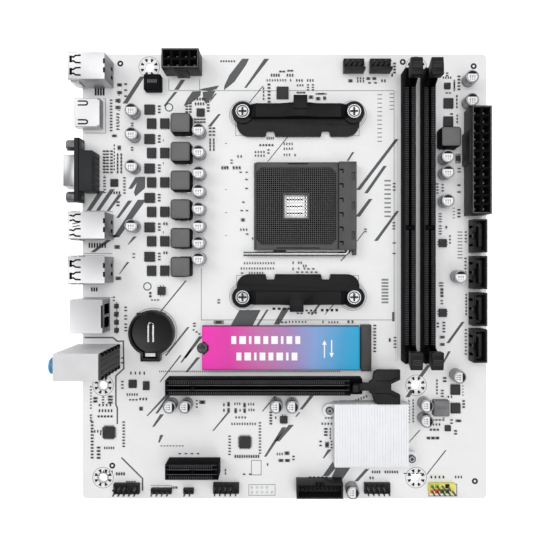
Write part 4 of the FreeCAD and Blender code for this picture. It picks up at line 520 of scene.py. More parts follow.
# Slanted bars of the decoration: start, end, width at each end
SLASHES = [
    (91.2, 2.2, 80.6, 16.6, 2.0, 0.9), (89.4, 15.6, 82.4, 24.2, 0.5, 0.4),
    (49.8, 12.6, 46.4, 17.6, 1.8, 1.8), (46.2, 18.6, 40.6, 25.6, 1.3, 0.9),
    (29.6, 11.0, 21.0, 24.4, 1.9, 2.0), (66.0, 19.4, 63.2, 23.2, 0.8, 0.6),
    (67.8, 29.6, 62.8, 35.8, 1.0, 1.4), (29.4, 72.0, 16.6, 90.6, 3.4, 2.4),
    (23.6, 72.4, 17.4, 81.0, 1.7, 1.2), (18.6, 69.4, 12.6, 77.6, 1.6, 1.2),
    (14.8, 66.8, 7.6, 77.4, 1.9, 1.7), (9.6, 67.6, 3.0, 77.4, 2.2, 1.9), (27.6, 60.8, 23.6, 66.6, 2.4, 1.6),
    (22.6, 102.8, 18.2, 108.8, 1.0, 0.4), (51.2, 112.0, 38.8, 127.2, 0.7, 0.6),
    (52.4, 135.0, 41.2, 149.2, 0.9, 0.7), (48.6, 149.0, 38.4, 162.2, 0.7, 0.5),
    (58.6, 139.6, 50.6, 150.4, 1.6, 1.2), (53.8, 146.0, 48.8, 152.6, 1.0, 0.7),
    (57.4, 150.0, 51.4, 157.4, 1.4, 1.0), (91.6, 126.4, 86.6, 134.2, 0.9, 0.9),
    (100.8, 125.6, 96.0, 133.8, 3.0, 2.4), (155.6, 42.0, 136.4, 67.2, 1.4, 1.6),
    (149.8, 55.2, 140.3, 68.8, 1.4, 1.5), (142.6, 71.6, 136.2, 80.4, 1.5, 1.8),
    (156.0, 77.6, 145.2, 92.4, 1.2, 1.5), (139.4, 87.8, 135.8, 92.6, 0.5, 0.4),
    (134.0, 48.4, 131.2, 52.8, 1.0, 0.8), (132.8, 97.0, 127.8, 102.4, 0.7, 0.5),
    (102.4, 39.8, 91.6, 53.2, 0.5, 0.4), (124.8, 123.2, 120.0, 128.8, 0.5, 0.4),
    (188.4, 132.4, 180.8, 143.0, 1.2, 1.3), (181.6, 147.0, 178.4, 153.2, 1.2, 0.7),
    (171.6, 153.6, 167.2, 159.6, 1.6, 1.7), (163.2, 166.0, 160.8, 169.8, 1.7, 1.6),
    (114.6, 167.6, 108.2, 175.8, 1.6, 1.2), (107.4, 177.2, 105.6, 179.4, 0.7, 0.7),
    (103.4, 183.4, 96.2, 191.6, 1.9, 1.9), (99.8, 184.6, 90.4, 199.2, 1.7, 1.0),
    (72.4, 177.0, 64.6, 186.4, 0.9, 0.6), (41.4, 169.0, 32.0, 179.0, 1.2, 0.6),
    (43.2, 168.4, 36.6, 177.8, 1.4, 1.0), (39.4, 178.2, 35.0, 184.4, 1.6, 0.9),
    (39.2, 188.4, 37.8, 192.2, 1.6, 0.7), (95.4, 169.2, 89.0, 176.8, 0.8, 0.5),
    (167.0, 186.0, 161.4, 192.2, 0.6, 0.4), (179.8, 196.0, 170.4, 208.0, 0.6, 0.5),
    (141.0, 205.2, 135.4, 211.4, 1.5, 1.4), (122.4, 195.6, 119.2, 200.0, 1.6, 0.6),
    (26.0, 90.2, 22.6, 94.2, 1.4, 0.4), (16.4, 89.4, 5.0, 98.0, 1.6, 1.4),
    (118.0, 122.8, 113.4, 129.0, 1.0, 0.8),
]
# Larger printed areas, corner by corner
PRINTED_AREAS = [
    [(79.0, 2.2), (82.4, 2.2), (81.0, 5.2), (75.2, 13.6), (70.0, 17.8), (70.2, 15.6), (72.6, 10.4)],
    [(57.4, 17.4), (67.6, 15.4), (66.4, 17.2), (62.6, 18.4)],
    [(54.4, 18.4), (58.6, 18.2), (58.4, 20.4), (53.2, 24.6), (50.0, 25.6), (51.6, 22.4)],
    [(59.4, 18.6), (65.8, 18.0), (64.0, 21.6), (61.2, 24.6), (59.8, 22.6)],
    [(27.8, 60.6), (31.0, 60.6), (31.0, 66.2), (26.2, 70.4), (25.4, 68.4)],
    [(77.6, 126.6), (88.2, 126.6), (84.2, 134.4), (73.2, 134.4)],
    [(125.2, 199.6), (125.2, 205.0), (121.8, 208.8), (118.8, 208.8)],
    [(125.4, 204.6), (132.6, 204.6), (128.6, 210.4), (122.8, 210.4)],
    [(153.2, 127.6), (154.5, 127.6), (154.5, 132.2), (153.2, 132.2)],
]
# Thin printed lines: points, then width
PRINTED_LINES = [
    ([(42.7, 18.0), (154.2, 18.0), (154.2, 131.5), (58.8, 131.5), (58.8, 106.0)], 0.3),
    ([(42.7, 12.4), (42.7, 18.0)], 0.3), ([(57.9, 12.4), (57.9, 18.0)], 0.3),
    ([(75.8, 34.0), (75.8, 40.3), (91.0, 40.3)], 0.25),
    ([(136.9, 34.0), (136.9, 40.3), (124.0, 40.3)], 0.25),
    ([(82.6, 109.5), (76.2, 109.5), (76.2, 114.0)], 0.25),
    ([(129.6, 109.5), (136.6, 109.5), (136.6, 114.0)], 0.25),
    ([(10.2, 22.0), (11.4, 22.0), (11.4, 39.0), (1.0, 39.0)], 0.3),
    ([(1.0, 98.6), (14.8, 98.6)], 0.3), ([(1.0, 77.9), (15.0, 77.9)], 0.3),
    ([(1.0, 120.4), (15.6, 120.4)], 0.3),
    ([(82.3, 213.0), (95.3, 213.0), (95.3, 218.3), (82.3, 218.3), (82.3, 213.0)], 0.3),
    ([(83.6, 201.0), (88.4, 201.0), (88.4, 208.2), (83.6, 208.2), (83.6, 201.0)], 0.35),
    ([(171.4, 212.8), (185.2, 212.8), (185.2, 218.6), (171.4, 218.6), (171.4, 212.8)], 0.5),
    ([(127.2, 171.4), (152.0, 171.4)], 0.3), ([(127.2, 172.8), (141.0, 172.8)], 0.3),
    ([(33.6, 213.4), (44.0, 213.4), (44.0, 217.6)], 0.25), ([(161.2, 170.6), (161.2, 202.0)], 0.2),
]
PARTING_LINE = [(1.0, 140.2), (15.0, 140.2), (17.2, 142.0), (20.2, 142.0), (20.4, 155.6),
                (16.5, 159.2), (16.5, 173.4), (17.2, 175.0), (17.2, 183.0)]
PARTING_TAIL = [(19.2, 199.6), (29.7, 210.0), (29.7, 216.0)]
STANDOFF_HOLES = [(33.02, 6.35), (165.1, 6.35), (10.16, 163.83), (165.1, 163.83),
                  (10.16, 209.55), (165.1, 209.55)]
TEST_RINGS = [(18.7, 4.6), (158.5, 3.8), (193.6, 5.9), (14.7, 203.6), (194.2, 211.3)]
# Rows of short dashes beside the parts: first corner, count, step, size of a dash
PRINTED_DASHES = [
    (68.2, 3.0, 6, 1.3, 0.0, 0.8, 0.9), (17.6, 20.0, 10, 0.0, 1.9, 0.9, 0.35),
    (39.8, 42.0, 5, 0.0, 11.4, 0.35, 1.2), (70.6, 44.0, 5, 0.0, 11.4, 0.9, 0.3),
    (30.4, 98.0, 3, 0.0, 1.6, 0.9, 0.4), (110.0, 122.4, 4, 1.5, 0.0, 0.7, 1.0),
    (64.2, 160.4, 5, 1.5, 0.0, 0.8, 0.4), (38.6, 193.6, 8, 1.5, 0.0, 0.9, 0.5),
    (8.6, 187.4, 5, 1.7, 0.0, 0.7, 1.1), (10.2, 206.0, 4, 1.4, 0.0, 0.5, 1.2),
    (112.0, 209.0, 5, 2.0, 0.0, 1.3, 0.9), (159.0, 207.2, 5, 2.0, 0.0, 1.3, 0.5),
    (178.2, 175.0, 4, 0.0, 1.6, 1.0, 0.5), (187.8, 164.0, 4, 0.0, 1.5, 0.9, 0.4),
    (38.0, 156.6, 90, 1.0, 0.0, 0.5, 0.8), (193.2, 42.2, 3, 0.0, 1.5, 0.9, 0.4),
    # The row at (6.0, 15.2) packs its dashes into a near solid dark block beside the top rear port.
    (183.2, 76.0, 4, 0.0, 1.6, 1.1, 0.4), (6.0, 15.2, 4, 1.3, 0.0, 1.0, 5.2),
    (4.2, 115.4, 3, 1.2, 0.0, 0.8, 2.0), (3.0, 93.4, 7, 1.3, 0.0, 0.8, 2.4),
    (94.0, 125.4, 4, 2.6, 0.0, 1.5, 1.1), (106.0, 126.4, 5, 2.2, 0.0, 1.1, 0.9),
    (118.0, 126.0, 4, 2.4, 0.0, 1.3, 1.3), (19.0, 150.0, 2, 0.0, 2.4, 1.6, 0.6),
    (4.2, 186.0, 6, 1.5, 0.0, 0.7, 1.3), (15.4, 44.6, 8, 0.0, 1.7, 0.6, 1.0),
]
# Rows of thin strokes: first place, count, step, length, width
FINE_ROWS = [
    (146.0, 20.0, 12, 2.1, 2.2, 0.5), (152.0, 19.6, 5, 1.9, 2.0, 0.5),
    (149.4, 62.6, 9, 2.2, 3.2, 0.8), (148.0, 111.6, 8, 1.6, 3.4, 0.95),
    (185.6, 88.0, 9, 1.6, 2.4, 0.6),
]
BRACKET_EARS = [(79.6, 29.9), (133.6, 29.9), (79.6, 119.9), (133.6, 119.9)]
SOCKET_CENTRE = (105.6, 75.5)
CELL_CENTRE = (34.9, 137.5)


def ink(piece, outline, thick=0.03, hole=None):
    """Thin layer on the mask over an outline of places on the board."""
    holes = [flat(hole)] if hole else ()
    piece.prism(flat(outline), board_high.z, board_high.z + thick, holes=holes)


def ink_ring(piece, x, y, outer, inner, sides=40, thick=0.03):
    ink(piece, ring(x, y, outer, sides), thick, ring(x, y, inner, sides))


def dark_print():
    """Slanted bars and areas of the decoration, and the line that parts off the audio corner."""
    dark = Piece()
    for x0, y0, x1, y1, wide, narrow in SLASHES:
        start, end = Vector((x0, y0)), Vector((x1, y1))
        slant = Vector((0.5, 0)) / max(0.5, abs((end - start).normalized().y))
        ink(dark, [start - slant * wide, start + slant * wide,
                   end + slant * narrow, end - slant * narrow])
    for area in PRINTED_AREAS:
        ink(dark, area, 0.034)
    for path in (PARTING_LINE, PARTING_TAIL):
        ink(dark, stroke(path, 0.75), 0.038)
    for x, y in ((42.8, 26.3), (32.1, 114.9)):
        ink_ring(dark, x, y, 2.1, 1.55)
    dark.build("board_print_dark", [INK])


def bold_print():
    """Test rings, rays round the standoff holes and rows of dashes."""
    bold = Piece()
    for x, y in TEST_RINGS:
        ink_ring(bold, x, y, 1.5, 0.6)
    ray = ((2.7, -0.3), (2.7, 0.3), (4.3, 0.8), (4.3, -0.8))
    for (x, y), k in product(STANDOFF_HOLES, range(8)):
        angle = pi * (k + 0.5) / 4
        ink(bold, [(x + reach * cos(angle) - side * sin(angle),
                    y + reach * sin(angle) + side * cos(angle)) for reach, side in ray])
    for x, y, count, step_x, step_y, long, thick in PRINTED_DASHES:
        for k in range(count):
            left, top = x + step_x * k, y + step_y * k
            ink(bold, rectangle(left, top, left + long, top + thick), 0.042)
    bold.build("board_print_bold", [BOLD_INK])


def fine_print():
    """Outlines of parts, rings and rows of thin strokes."""
    fine = Piece()
    for path, width in PRINTED_LINES:
        ink(fine, stroke(path, width))
    for x, y in STANDOFF_HOLES:
        ink_ring(fine, x, y, 5.25, 5.0, 64)
    for (x, y), radius in product(BRACKET_EARS, (6.1, 6.9)):
        ink_ring(fine, x, y, radius + 0.12, radius - 0.12, 64)
    ink_ring(fine, *CELL_CENTRE, 12.0, 11.7, 72)
    for x, y, count, step, length, width in FINE_ROWS:
        for k in range(count):
            ink(fine, stroke([(x, y + step * k), (x + length, y + step * k)], width))
    fine.build("board_print_fine", [FINE_INK])
    pale = Piece()
    for x in (155.0, 155.9):
        ink(pale, stroke([(x, 18.0), (x, 152.0)], 0.3))
    pale.build("board_print_pale", [PALE_INK])


def mount_pads():
    """Bare rings round the standoff holes and small pads in the unused footprint."""
    pads = Piece()
    for x, y in STANDOFF_HOLES:
        ink_ring(pads, x, y, 2.9, 2.02, 48, 0.02)
    for row, column in product(range(2), range(5)):
        if (row, column) != (0, 4):
            ink(pads, ring(83.8 + 2.5 * column, 214.4 + 2.4 * row, 0.75, 20), 0.05)
    pads.build("bare_pads", [SOLDER])


# ---- processor socket

def socket():
    softened("socket_base", "socket_plastic", 0.15, SOCKET_RIM)
    softened("socket_cover", "socket_plastic", 0.12, SOCKET_RIM, body="cover")
    face = box("socket_cover")[1].z
    pin_grid(face - 0.4, face - 0.06)

    parts = Piece()
    for row, column in product(range(3), range(6)):
        small_part(parts, at(101.6 + 1.35 * column, 72.0 + 3.4 * row), Vector((0.7, 1.9, 0.6)))
    for k in range(6):
        small_part(parts, at(110.2, 71.0 + 1.75 * k), Vector((1.5, 0.7, 0.6)))
    parts.build("socket_window_parts", [RESISTOR, TIN, RESISTOR])

    slits = Piece()
    bottom = box("socket_base")[1].z - 0.02
    for k in range(6):
        spot = at(127.5, 58.0 + 7.0 * k)
        slits.slab(spot.x, spot.y, 0.95, 0.35, bottom, bottom + 0.05, 0, 0.0)
        slits.slab(spot.x + 0.8, spot.y - 0.9, 0.25, 0.9, bottom, bottom + 0.05, 0, 0.0)
    for from_top, half in ((54.9, 5.0), (96.0, 10.5)):
        spot = at(106.5, from_top)
        slits.slab(spot.x, spot.y, half, 0.25, face - 0.02, face + 0.02, 0, 0.0)
    slits.build("socket_slits", [DEEP])


def pin_grid(floor, top):
    """Square openings in rows, except in the window and past the cut corners."""
    centre = at(*SOCKET_CENTRE)
    hole, pitch = 0.37, 1.0
    columns, rows = 39, 37
    window, corner = 6.4, (columns + rows) / 2 - 2.2
    grid = Piece()
    for column, row in product(range(columns), range(rows)):
        dx = (column - (columns - 1) / 2) * pitch
        dy = (row - (rows - 1) / 2) * pitch
        if max(abs(dx), abs(dy)) < window or abs(dx) + abs(dy) > corner:
            continue
        x, y = centre.x + dx, centre.y + dy
        outer, inner = [rectangle(x - half, y - half, x + half, y + half)
                        for half in (pitch / 2, hole)]
        points = [(*p, top) for p in outer + inner] + [(*p, floor) for p in inner]
        faces = [(first + k, first + (k + 1) % 4, first + 4 + (k + 1) % 4, first + 4 + k)
                 for first in (0, 4) for k in range(4)]
        grid.add(points, [*faces, (8, 9, 10, 11)], [0] * 4 + [1] * 5)
    field = grid.build("socket_pin_grid", [SOCKET, DEEP], body="cover")
    work = bmesh.new()
    work.from_mesh(field.data)
    bmesh.ops.remove_doubles(work, verts=work.verts, dist=1e-6)
    work.to_mesh(field.data)
    work.free()


def lever():
    """Bent wire lever with its cam lobe."""
    low, high = box("socket_lever")
    socket_centre = at(*SOCKET_CENTRE)
    height = at(0, 0, 3.4).z
    shaft = socket_centre.x + 25.4
    arm = socket_centre.y - 23.4
    bend = 1.8
    path = [Vector((shaft, high.y, height)), Vector((shaft, arm + bend, height))]
    for k in range(1, 8):
        angle = pi / 2 * k / 8
        path.append(Vector((shaft - bend + bend * cos(angle), arm + bend - bend * sin(angle), height)))
    path += [Vector((x, arm, height)) for x in (shaft - bend, low.x + 0.5, low.x)]
    wire = Piece()
    wire.tube(path, 1.1, 20)
    lobe = Vector((shaft + 0.5, socket_centre.y - 5.0, height))
    wire.lathe(lobe, [(0, 0), (1.45, 0), (1.45, 10.0), (0, 10.0)], axis=(0, 1, 0))
    wire.build("socket_lever_wire", [STEEL], ["socket_lever"], "lever")


def flat_ring(piece, low, high, shares):
    """Thin ring on a round head, between two shares of its radius."""
    centre = foot(low, high)
    radius = (high.x - low.x) / 2
    outer, inner = [ring(centre.x, centre.y, radius * share, 36) for share in shares]
    piece.prism(outer, high.z - 0.05, high.z - 0.01, 0, [inner])


def brackets():
    # On the upper bracket the upward faces below the ridge get the lighter copy, as painted light; the
    # lower bracket keeps one colour.
    for node, base in (("cooler_bracket_upper", BRACKET_BASE_LIT), ("cooler_bracket_lower", BRACKET)):
        ridge = (box(node)[1].z - 3.0) * MM
        softened(node, "bracket_plastic", 0.25, BRACKET, base,
                 paint=lambda face: int(face.normal.z > 0.9 and face.calc_center_median().z < ridge))
    softened("bracket_screws", "screw_steel", 0.2, STEEL, sink=0.06)
    # Cross recess and a ring on each screw head, painted dark as painted shade.
    recesses = Piece()
    for low, high in islands("bracket_screws"):
        centre = foot(low, high)
        for along, across in ((1.7, 0.34), (0.34, 1.7)):
            recesses.slab(centre.x, centre.y, along, across, high.z - 0.1, high.z, 0, 0.02)
        flat_ring(recesses, low, high, (0.84, 0.68))
    recesses.build("screw_recesses", [RECESS_SHADE])
    paint_cad("cooler_backplate", PLATE)


# ---- slots

def memory_slots():
    for slot in ("dimm_slot_inner", "dimm_slot_outer"):
        softened(slot, "slot_plastic", 0.12, SLOT_BLACK)
        memory_contacts(slot)
        for end, inward in (("upper", -1), ("lower", 1)):
            latch = f"{slot}_{end}_latch"
            body = latch.replace("dimm_slot_", "")
            softened(latch, "latch_plastic", 0.25, LATCH, body=body)
            low, high = box(latch)
            outer = high.y if end == "upper" else low.y
            grips = Piece()
            for k in range(5):
                grips.slab((low.x + high.x) / 2, outer + inward * (2.6 + 0.95 * k),
                           (high.x - low.x) / 2 - 0.45, 0.2, high.z - 0.3, high.z, 0, 0.1)
            grips.build(latch + "_ribs", [RIB], body=body)


def memory_contacts(slot):
    """Ribs and contacts on both sides of the channel, left out at the key."""
    low, high = box(slot)
    centre = foot(low, high)
    top = at(0, 0, 9.0).z
    count, pitch = 146, 0.85
    key = centre.y - 5.6
    ribs = Piece()
    for k in range(count):
        y = centre.y + (k - (count - 1) / 2) * pitch
        if abs(y - key) < 1.2:
            continue
        for side in (-1, 1):
            ribs.slab(centre.x + side * 1.75, y, 0.5, 0.2, top - 0.3, top + 0.02, 0, 0.03)
            ribs.slab(centre.x + side * 0.95 - 0.02, y, 0.14, 0.14, top - 1.2, top + 0.015, 1, 0.02)
    for side in (-1, 1):
        ribs.slab(centre.x + side * 2.55, centre.y, 0.08, (high.y - low.y) / 2 - 9.0,
                  top - 0.2, top + 0.02, 0, 0.03)
    ribs.build(slot + "_contacts", [RIB, DULL_NICKEL])


def card_slots():
    softened("pcie_x16_latch", "latch_plastic", 0.3, LATCH, body="card_latch")
    low, high = box("pcie_x16_latch")
    y = (low.y + high.y) / 2
    top = at(0, 0, 9.6).z
    grooves = Piece()
    for side in (-1, 1):
        path = [(high.x - 12.0, y + side * 3.0), (high.x - 5.4, y + side * 3.0),
                (high.x - 0.9, y + side * 4.9)]
        grooves.prism(stroke(path, 0.35), top - 0.1, top + 0.01)
    grooves.build("pcie_x16_latch_grooves", [DEEP], body="card_latch")
    for node, length in (("pcie_x16_slot", 88.5), ("pcie_x1_slot", 25.4)):
        softened(node, "slot_plastic", 0.15, SLOT_BLACK)
        card_contacts(node, length)


def card_contacts(node, length):
    """Ribs, contacts and long lines of painted highlight on top of an expansion slot, left out at the key.
    """
    low, high = box(node)
    y = (low.y + high.y) / 2
    top = at(0, 0, 11.25).z
    trim = Piece()
    for k in range(int(length) - 4):
        from_end = 2.2 + k
        x = low.x + from_end
        for side in (-1, 1):
            if abs(from_end - 13.2) > 1.2:
                trim.slab(x, y + side * 1.1, 0.2, 0.15, top - 1.0, top + 0.02, 1, 0.02)
            trim.slab(x, y + side * 2.5, 0.26, 0.55, top - 0.3, top + 0.02, 0, 0.04)
    for offset in (-3.4, -1.0, 1.3, 3.4):
        trim.slab(low.x + length / 2, y + offset, length / 2 - 0.6, 0.1, top - 0.2, top + 0.03,
                  2, 0.03)
    trim.build(node + "_contacts", [RIB, DULL_NICKEL, RIM_HIGHLIGHT])


# ---- storage card

def storage_card():
    softened("m2_connector", "connector_brown", 0.15, BROWN)
    softened("m2_card", "card_laminate", 0.05, CARD)
    softened("m2_standoff", "standoff_brass", 0.1, BRASS)
    softened("m2_screw", "screw_steel", 0.15, GREY_STEEL)
    low, high = box("m2_card_label")
    columns, rows = 96, 28
    points = []
    for j, i in product(range(rows + 1), range(columns + 1)):
        x = low.x + (high.x - low.x) * i / columns
        y = low.y + (high.y - low.y) * j / rows
        crease = sin(x * 0.7 + y * 0.26) * cos(y * 0.9 - x * 0.13) * 0.5 + 0.5
        edge = min(i, columns - i, j, rows - j)
        lift = 0.055 * min(1, edge / 2) * crease
        points.append(Vector((x, y, high.z - 0.09 + lift)))
    chip_window = at(59.7, 144.9).to_2d()
    faces = []
    for j, i in product(range(rows), range(columns)):
        a = j * (columns + 1) + i
        b = a + columns + 1
        if (((points[a] + points[b + 1]) / 2).to_2d() - chip_window).length > 3.3:
            faces.append((a, a + 1, b + 1, b))
    label = Piece()
    label.add(points, faces)
    sheet = label.build("card_label", [FILM], ["m2_card_label"])
    film = sheet.modifiers.new("film", "SOLIDIFY")
    film.thickness = 0.05 * MM
    film.offset = -1
    label_marks(high.z)


def label_marks(top):
    """Two plain arrows and two rows of plain bars in place of the label's print."""
    outlines = []
    for x, tip, wings, tail in ((119.4, 141.0, 143.2, 149.6), (122.9, 149.4, 147.2, 140.8)):
        outlines.append(stroke([(x, tail), (x, wings)], 0.55))
        outlines.append([(x - 1.1, wings), (x, tip), (x + 1.1, wings)])
    widths = (2.4, 3.2, 1.2, 2.8)
    for y, x, last in ((140.9, 74.0, 105.5), (148.9, 76.5, 104.5)):
        k = 0
        while x < last:
            width = widths[k % len(widths)]
            outlines.append(rectangle(x, y - 1.9, x + width, y + 1.9))
            x += width + 1.5
            k += 1
    marks = Piece()
    for outline in outlines:
        marks.prism(flat(outline), top - 0.03, top)
    marks.build("card_label_marks", [WHITE_INK])


# ---- chipset, coin cell holder

def chipset():
    paint_cad("chipset", EPOXY)
    softened("chipset_heatsink", "heatsink_white", 0.12, HEATSINK)
    low, high = box("chipset_heatsink")
    centre = at(141.8, 186.4)
    webs = Piece()
    webs.slab(centre.x, centre.y, 17.4, 14.9, low.z + 4.0, high.z - 0.5, 0, 0.1)
    webs.build("heatsink_webs", [HEATSINK])
    softened("heatsink_screws", "screw_steel", 0.15, GREY_STEEL, sink=0.06)
    heads = Piece()
    for low, high in islands("heatsink_screws"):
        flat_ring(heads, low, high, (0.72, 0.4))
    heads.build("push_pin_rings", [STEEL])


def cell_holder():
    """Black ring; two rising springs joined by an arch, and a bent clip at the wall."""
    softened("battery_holder", "holder_plastic", 0.25, GLOSS_BLACK)
    centre = at(*CELL_CENTRE, 1.0)
    floor = centre.z
    metal = Piece()
    steps = 8
    for x in (-2.1, 0.3):
        path = [(-4.8 + 8.4 * k / steps, 0.12 + 0.2 * sin(pi * k / steps)) for k in range(steps + 1)]
        for (y0, z0), (y1, z1) in zip(path, path[1:]):
            metal.slab(centre.x + x, centre.y + (y0 + y1) / 2, 0.42, (y1 - y0) / 2,
                       floor + min(z0, z1) - 0.1, floor + max(z0, z1) + 0.06, 0, 0.03)
    angles = [pi * k / 10 for k in range(11)]
    arch = [centre + Vector((-0.9 + 1.35 * cos(angle), 3.5 + 1.2 * sin(angle), 0.16))
            for angle in angles]
    metal.tube(arch, 0.15, 8)
    clip = centre + Vector((-0.4, -11.85, 0))
    for depth, bottom in ((0.5, 0.0), (2.05, 3.0)):
        metal.slab(clip.x, clip.y + depth / 2, 2.5, depth / 2, floor + bottom, floor + 3.4, 0, 0.1)
    metal.build("battery_contact_springs", [SPRING], ["battery_contacts"])


# ---- connectors and pins

def power_connectors():
    """Black housings; the tops of the walls between the cells are painted lighter, as painted highlight."""
    half = 4.2 / 2
    wall = 0.2
    for node in ("eps_power_connector", "atx_power_connector"):
        softened(node, "connector_black", 0.2, BLACK, sink=0.05)
        low, high = box(node)
        cells = Piece()
        for pin in [foot(*solid) for solid in islands("connector_pins")]:
            if not (low.x < pin.x < high.x and low.y < pin.y < high.y):
                continue
            for side in (-1, 1):
                cells.slab(pin.x + side * half, pin.y, wall, half, high.z - 0.2, high.z, 0, 0.0)
                cells.slab(pin.x, pin.y + side * half, half, wall, high.z - 0.2, high.z, 0, 0.0)
        cells.build(node + "_cell_rims", [RIM_HIGHLIGHT])


def headers():
    softened("pin_header_bases", "connector_black", 0.12, BLACK)
    softened("usb3_header", "connector_black", 0.15, BLACK)
    softened("fan_headers", "fan_header_plastic", 0.15, BLACK)
    low, high = box("front_panel_header")
    colours = [[ORANGE, RED, DARK_GREEN, DARK_GREEN, YELLOW], [LIME, LIME, YELLOW, BLACK, YELLOW]]
    materials = [ORANGE, RED, DARK_GREEN, YELLOW, LIME, BLACK]
    pitch, half = 2.54, 1.05
    panel = Piece()
    panel.block(low, high - Vector((0, 0, 0.1)), materials.index(YELLOW), 0.2)
    for row, column in product(range(2), range(5)):
        panel.slab(low.x + pitch * (column + 0.5), low.y + pitch * (row + 0.5), half, half,
                   high.z - 0.3, high.z, materials.index(colours[row][column]), 0.08)
    panel.build("front_panel_header_blocks", materials,
                ["front_panel_header"])


def pins():
    """Square pins with cut tips, from the places of the CAD pins."""
    inset = 0.16
    dark = Piece()
    for low, high in islands("header_pins"):
        tip = high.z - 0.5
        dark.block(low, (high.x, high.y, tip), 0, 0.03)
        base = rectangle(low.x, low.y, high.x, high.y)
        end = rectangle(low.x + inset, low.y + inset, high.x - inset, high.y - inset)
        faces = [(k, (k + 1) % 4, (k + 1) % 4 + 4, k + 4) for k in range(4)]
        dark.add([(*p, tip) for p in base] + [(*p, high.z) for p in end],
                 [(4, 5, 6, 7), *faces, (3, 2, 1, 0)])
    dark.build("header_pins_cut", [DARK_PIN], ["header_pins"])
    tin = Piece()
    for low, high in islands("connector_pins"):
        tin.block(low, high, int(high.z > board_high.z + 2), 0.08)
    tin.build("connector_pins_cut", [TIN, DARK_PIN], ["connector_pins"])
    paint_cad("solder_joints", SOLDER)


def storage_ports():
    pitch = 1.27
    for node in [f"sata_port_{number}" for number in range(1, 5)]:
        softened(node, "connector_black", 0.15, BLACK, sink=0.05)
        low, high = box(node)
        centre = foot(low, high)
        contacts = Piece()
        for k in range(7):
            contacts.slab(centre.x + 0.97, centre.y + (k - 3) * pitch - 0.3, 0.07, 0.3,
                          high.z - 6.0, high.z - 1.6, 0, 0.03)
        contacts.build(node + "_contacts", [GOLD])
        # Lighter marks on the side face and a lighter strip along the top back edge: painted highlight.
        ledge = Piece()
        for k in range(3):
            y = low.y + 3.0 + 4.4 * k
            ledge.block((low.x, y, low.z + 1.0), (low.x + 0.06, y + 1.3, high.z - 1.6), 0, 0.0)
        ledge.block((high.x - 0.5, low.y + 0.4, high.z - 0.2), (high.x - 0.2, high.y - 0.4, high.z),
                    0, 0.03)
        ledge.build(node + "_ledge", [RIM_HIGHLIGHT])


# ---- rear panel ports

def metal_cover(node, width):
    """Nickel cover whose back and side faces are painted darker than its top, as painted shade."""
    softened(node, "port_nickel", width, NICKEL, PORT_BACK_SHADE, PORT_SIDE_SHADE, sink=0.06, paint=port_face_shade)


def port_face_shade(face):
    # Faces that point back get the darker back colour and faces to the sides the side colour: painted
    # shade.
    if face.normal.x > 0.9:
        return 1
    return 2 if abs(face.normal.y) > 0.9 else 0


def fork(piece, x, y, top, bar):
    """Spring cut-out in a cover's top: two bent slits, joined by a bar at the mouth end."""
    reach, spread = 5.3, 1.75
    bends = ((0.0, 0.75), (0.35, 0.5), (0.55, 0.95), (1.0, 1.0))
    for side in (-1, 1):
        path = [(x + along * reach, y + side * across * spread) for along, across in bends]
        piece.prism(stroke(path, 0.75), top - 0.02, top)
    if bar:
        piece.prism(rectangle(x, y - spread * 0.9, x + bar, y + spread * 0.9), top - 0.02, top)


def edge_lines(name, low, high):
    """Thin dark lines along the top edges of a metal port cover."""
    top = high.z - 0.03
    inset, thick = 0.05, 0.16
    left, right = low.x + inset, high.x - inset
    near, far = low.y + inset, high.y - inset
    lines = Piece()
    lines.block((left, near, top - 0.02), (right, near + thick, top), 0, 0.0)
    lines.block((left, far - thick, top - 0.02), (right, far, top), 0, 0.0)
    lines.block((left, near, top - 0.03), (left + thick, far, top - 0.01), 0, 0.0)
    lines.build(name, [EDGE_SHADE])


def usb_shells():
    """Nickel covers with spring cut-outs in the top, over black and blue cores."""
    for node, marks, bar in (("usb2_upper_shell", (-3.0, 2.8), 1.2), ("usb3_shell", (-3.4, 3.4), 0),
                             ("usb2_lower_shell", (-3.0, 2.8), 1.2)):
        metal_cover(node, 0.15)
        low, high = box(node)
        middle = (low.y + high.y) / 2
        slits = Piece()
        for mark in marks:
            fork(slits, low.x + 0.8, middle - mark, high.z, bar)
        for shift in () if bar else (-0.8, 0.6):
            path = [(low.x + 2.2, middle + shift), (low.x + 5.6, middle + shift + 0.7)]
            slits.prism(stroke(path, 0.38), high.z - 0.02, high.z)
        for side in (1, -1):
            y = middle - side * 2.1
            slits.block((high.x - 0.75, y - 1.2, high.z - 0.5), (high.x, y + 1.2, high.z), 0, 0.02)
            slits.block((high.x - 0.04, y - 0.9, low.z + 2.0), (high.x, y + 0.9, low.z + 5.0), 0, 0.02)
            slits.slab(low.x + 2.15, middle + side * 6.3 - 0.06, 2.05, 0.08, high.z - 0.1, high.z,
                       0, 0.02)
        slits.build(node.replace("shell", "slits"), [DEEP])
        edge_lines(node.replace("shell", "edges"), low, high)
    softened("usb2_cores", "port_core_plastic", 0.1, BLACK)
    softened("usb3_core", "port_core_blue", 0.1, PORT_BLUE)


def digital_video_port():
    metal_cover("hdmi_shell", 0.12)
    softened("hdmi_core", "port_core_plastic", 0.1, BLACK)
    low, high = box("hdmi_shell")
    half = 0.95
    start, end = low.x + 1.7, low.x + 5.4
    slits = Piece()
    for side in (-1, 1):
        middle = (low.y + high.y) / 2 + side * 4.55
        angles = [-pi / 2 + pi * k / 6 for k in range(1, 6)]
        path = [(start, middle - half), (end, middle - half)]
        path += [(end + half * cos(angle), middle + half * sin(angle)) for angle in angles]
        path += [(end, middle + half), (start, middle + half)]
        slits.prism(stroke(path, 0.7), high.z - 0.02, high.z)
        # The back corners of the top are painted with the darker back-face colour: painted shade.
        corner = high.y if side > 0 else low.y
        slits.block((high.x - 1.2, corner - side * 0.9, high.z - 0.3), (high.x, corner, high.z),
                    1, 0.02)
    slits.build("hdmi_slits", [DEEP, PORT_BACK_SHADE])
    edge_lines("hdmi_edges", low, high)


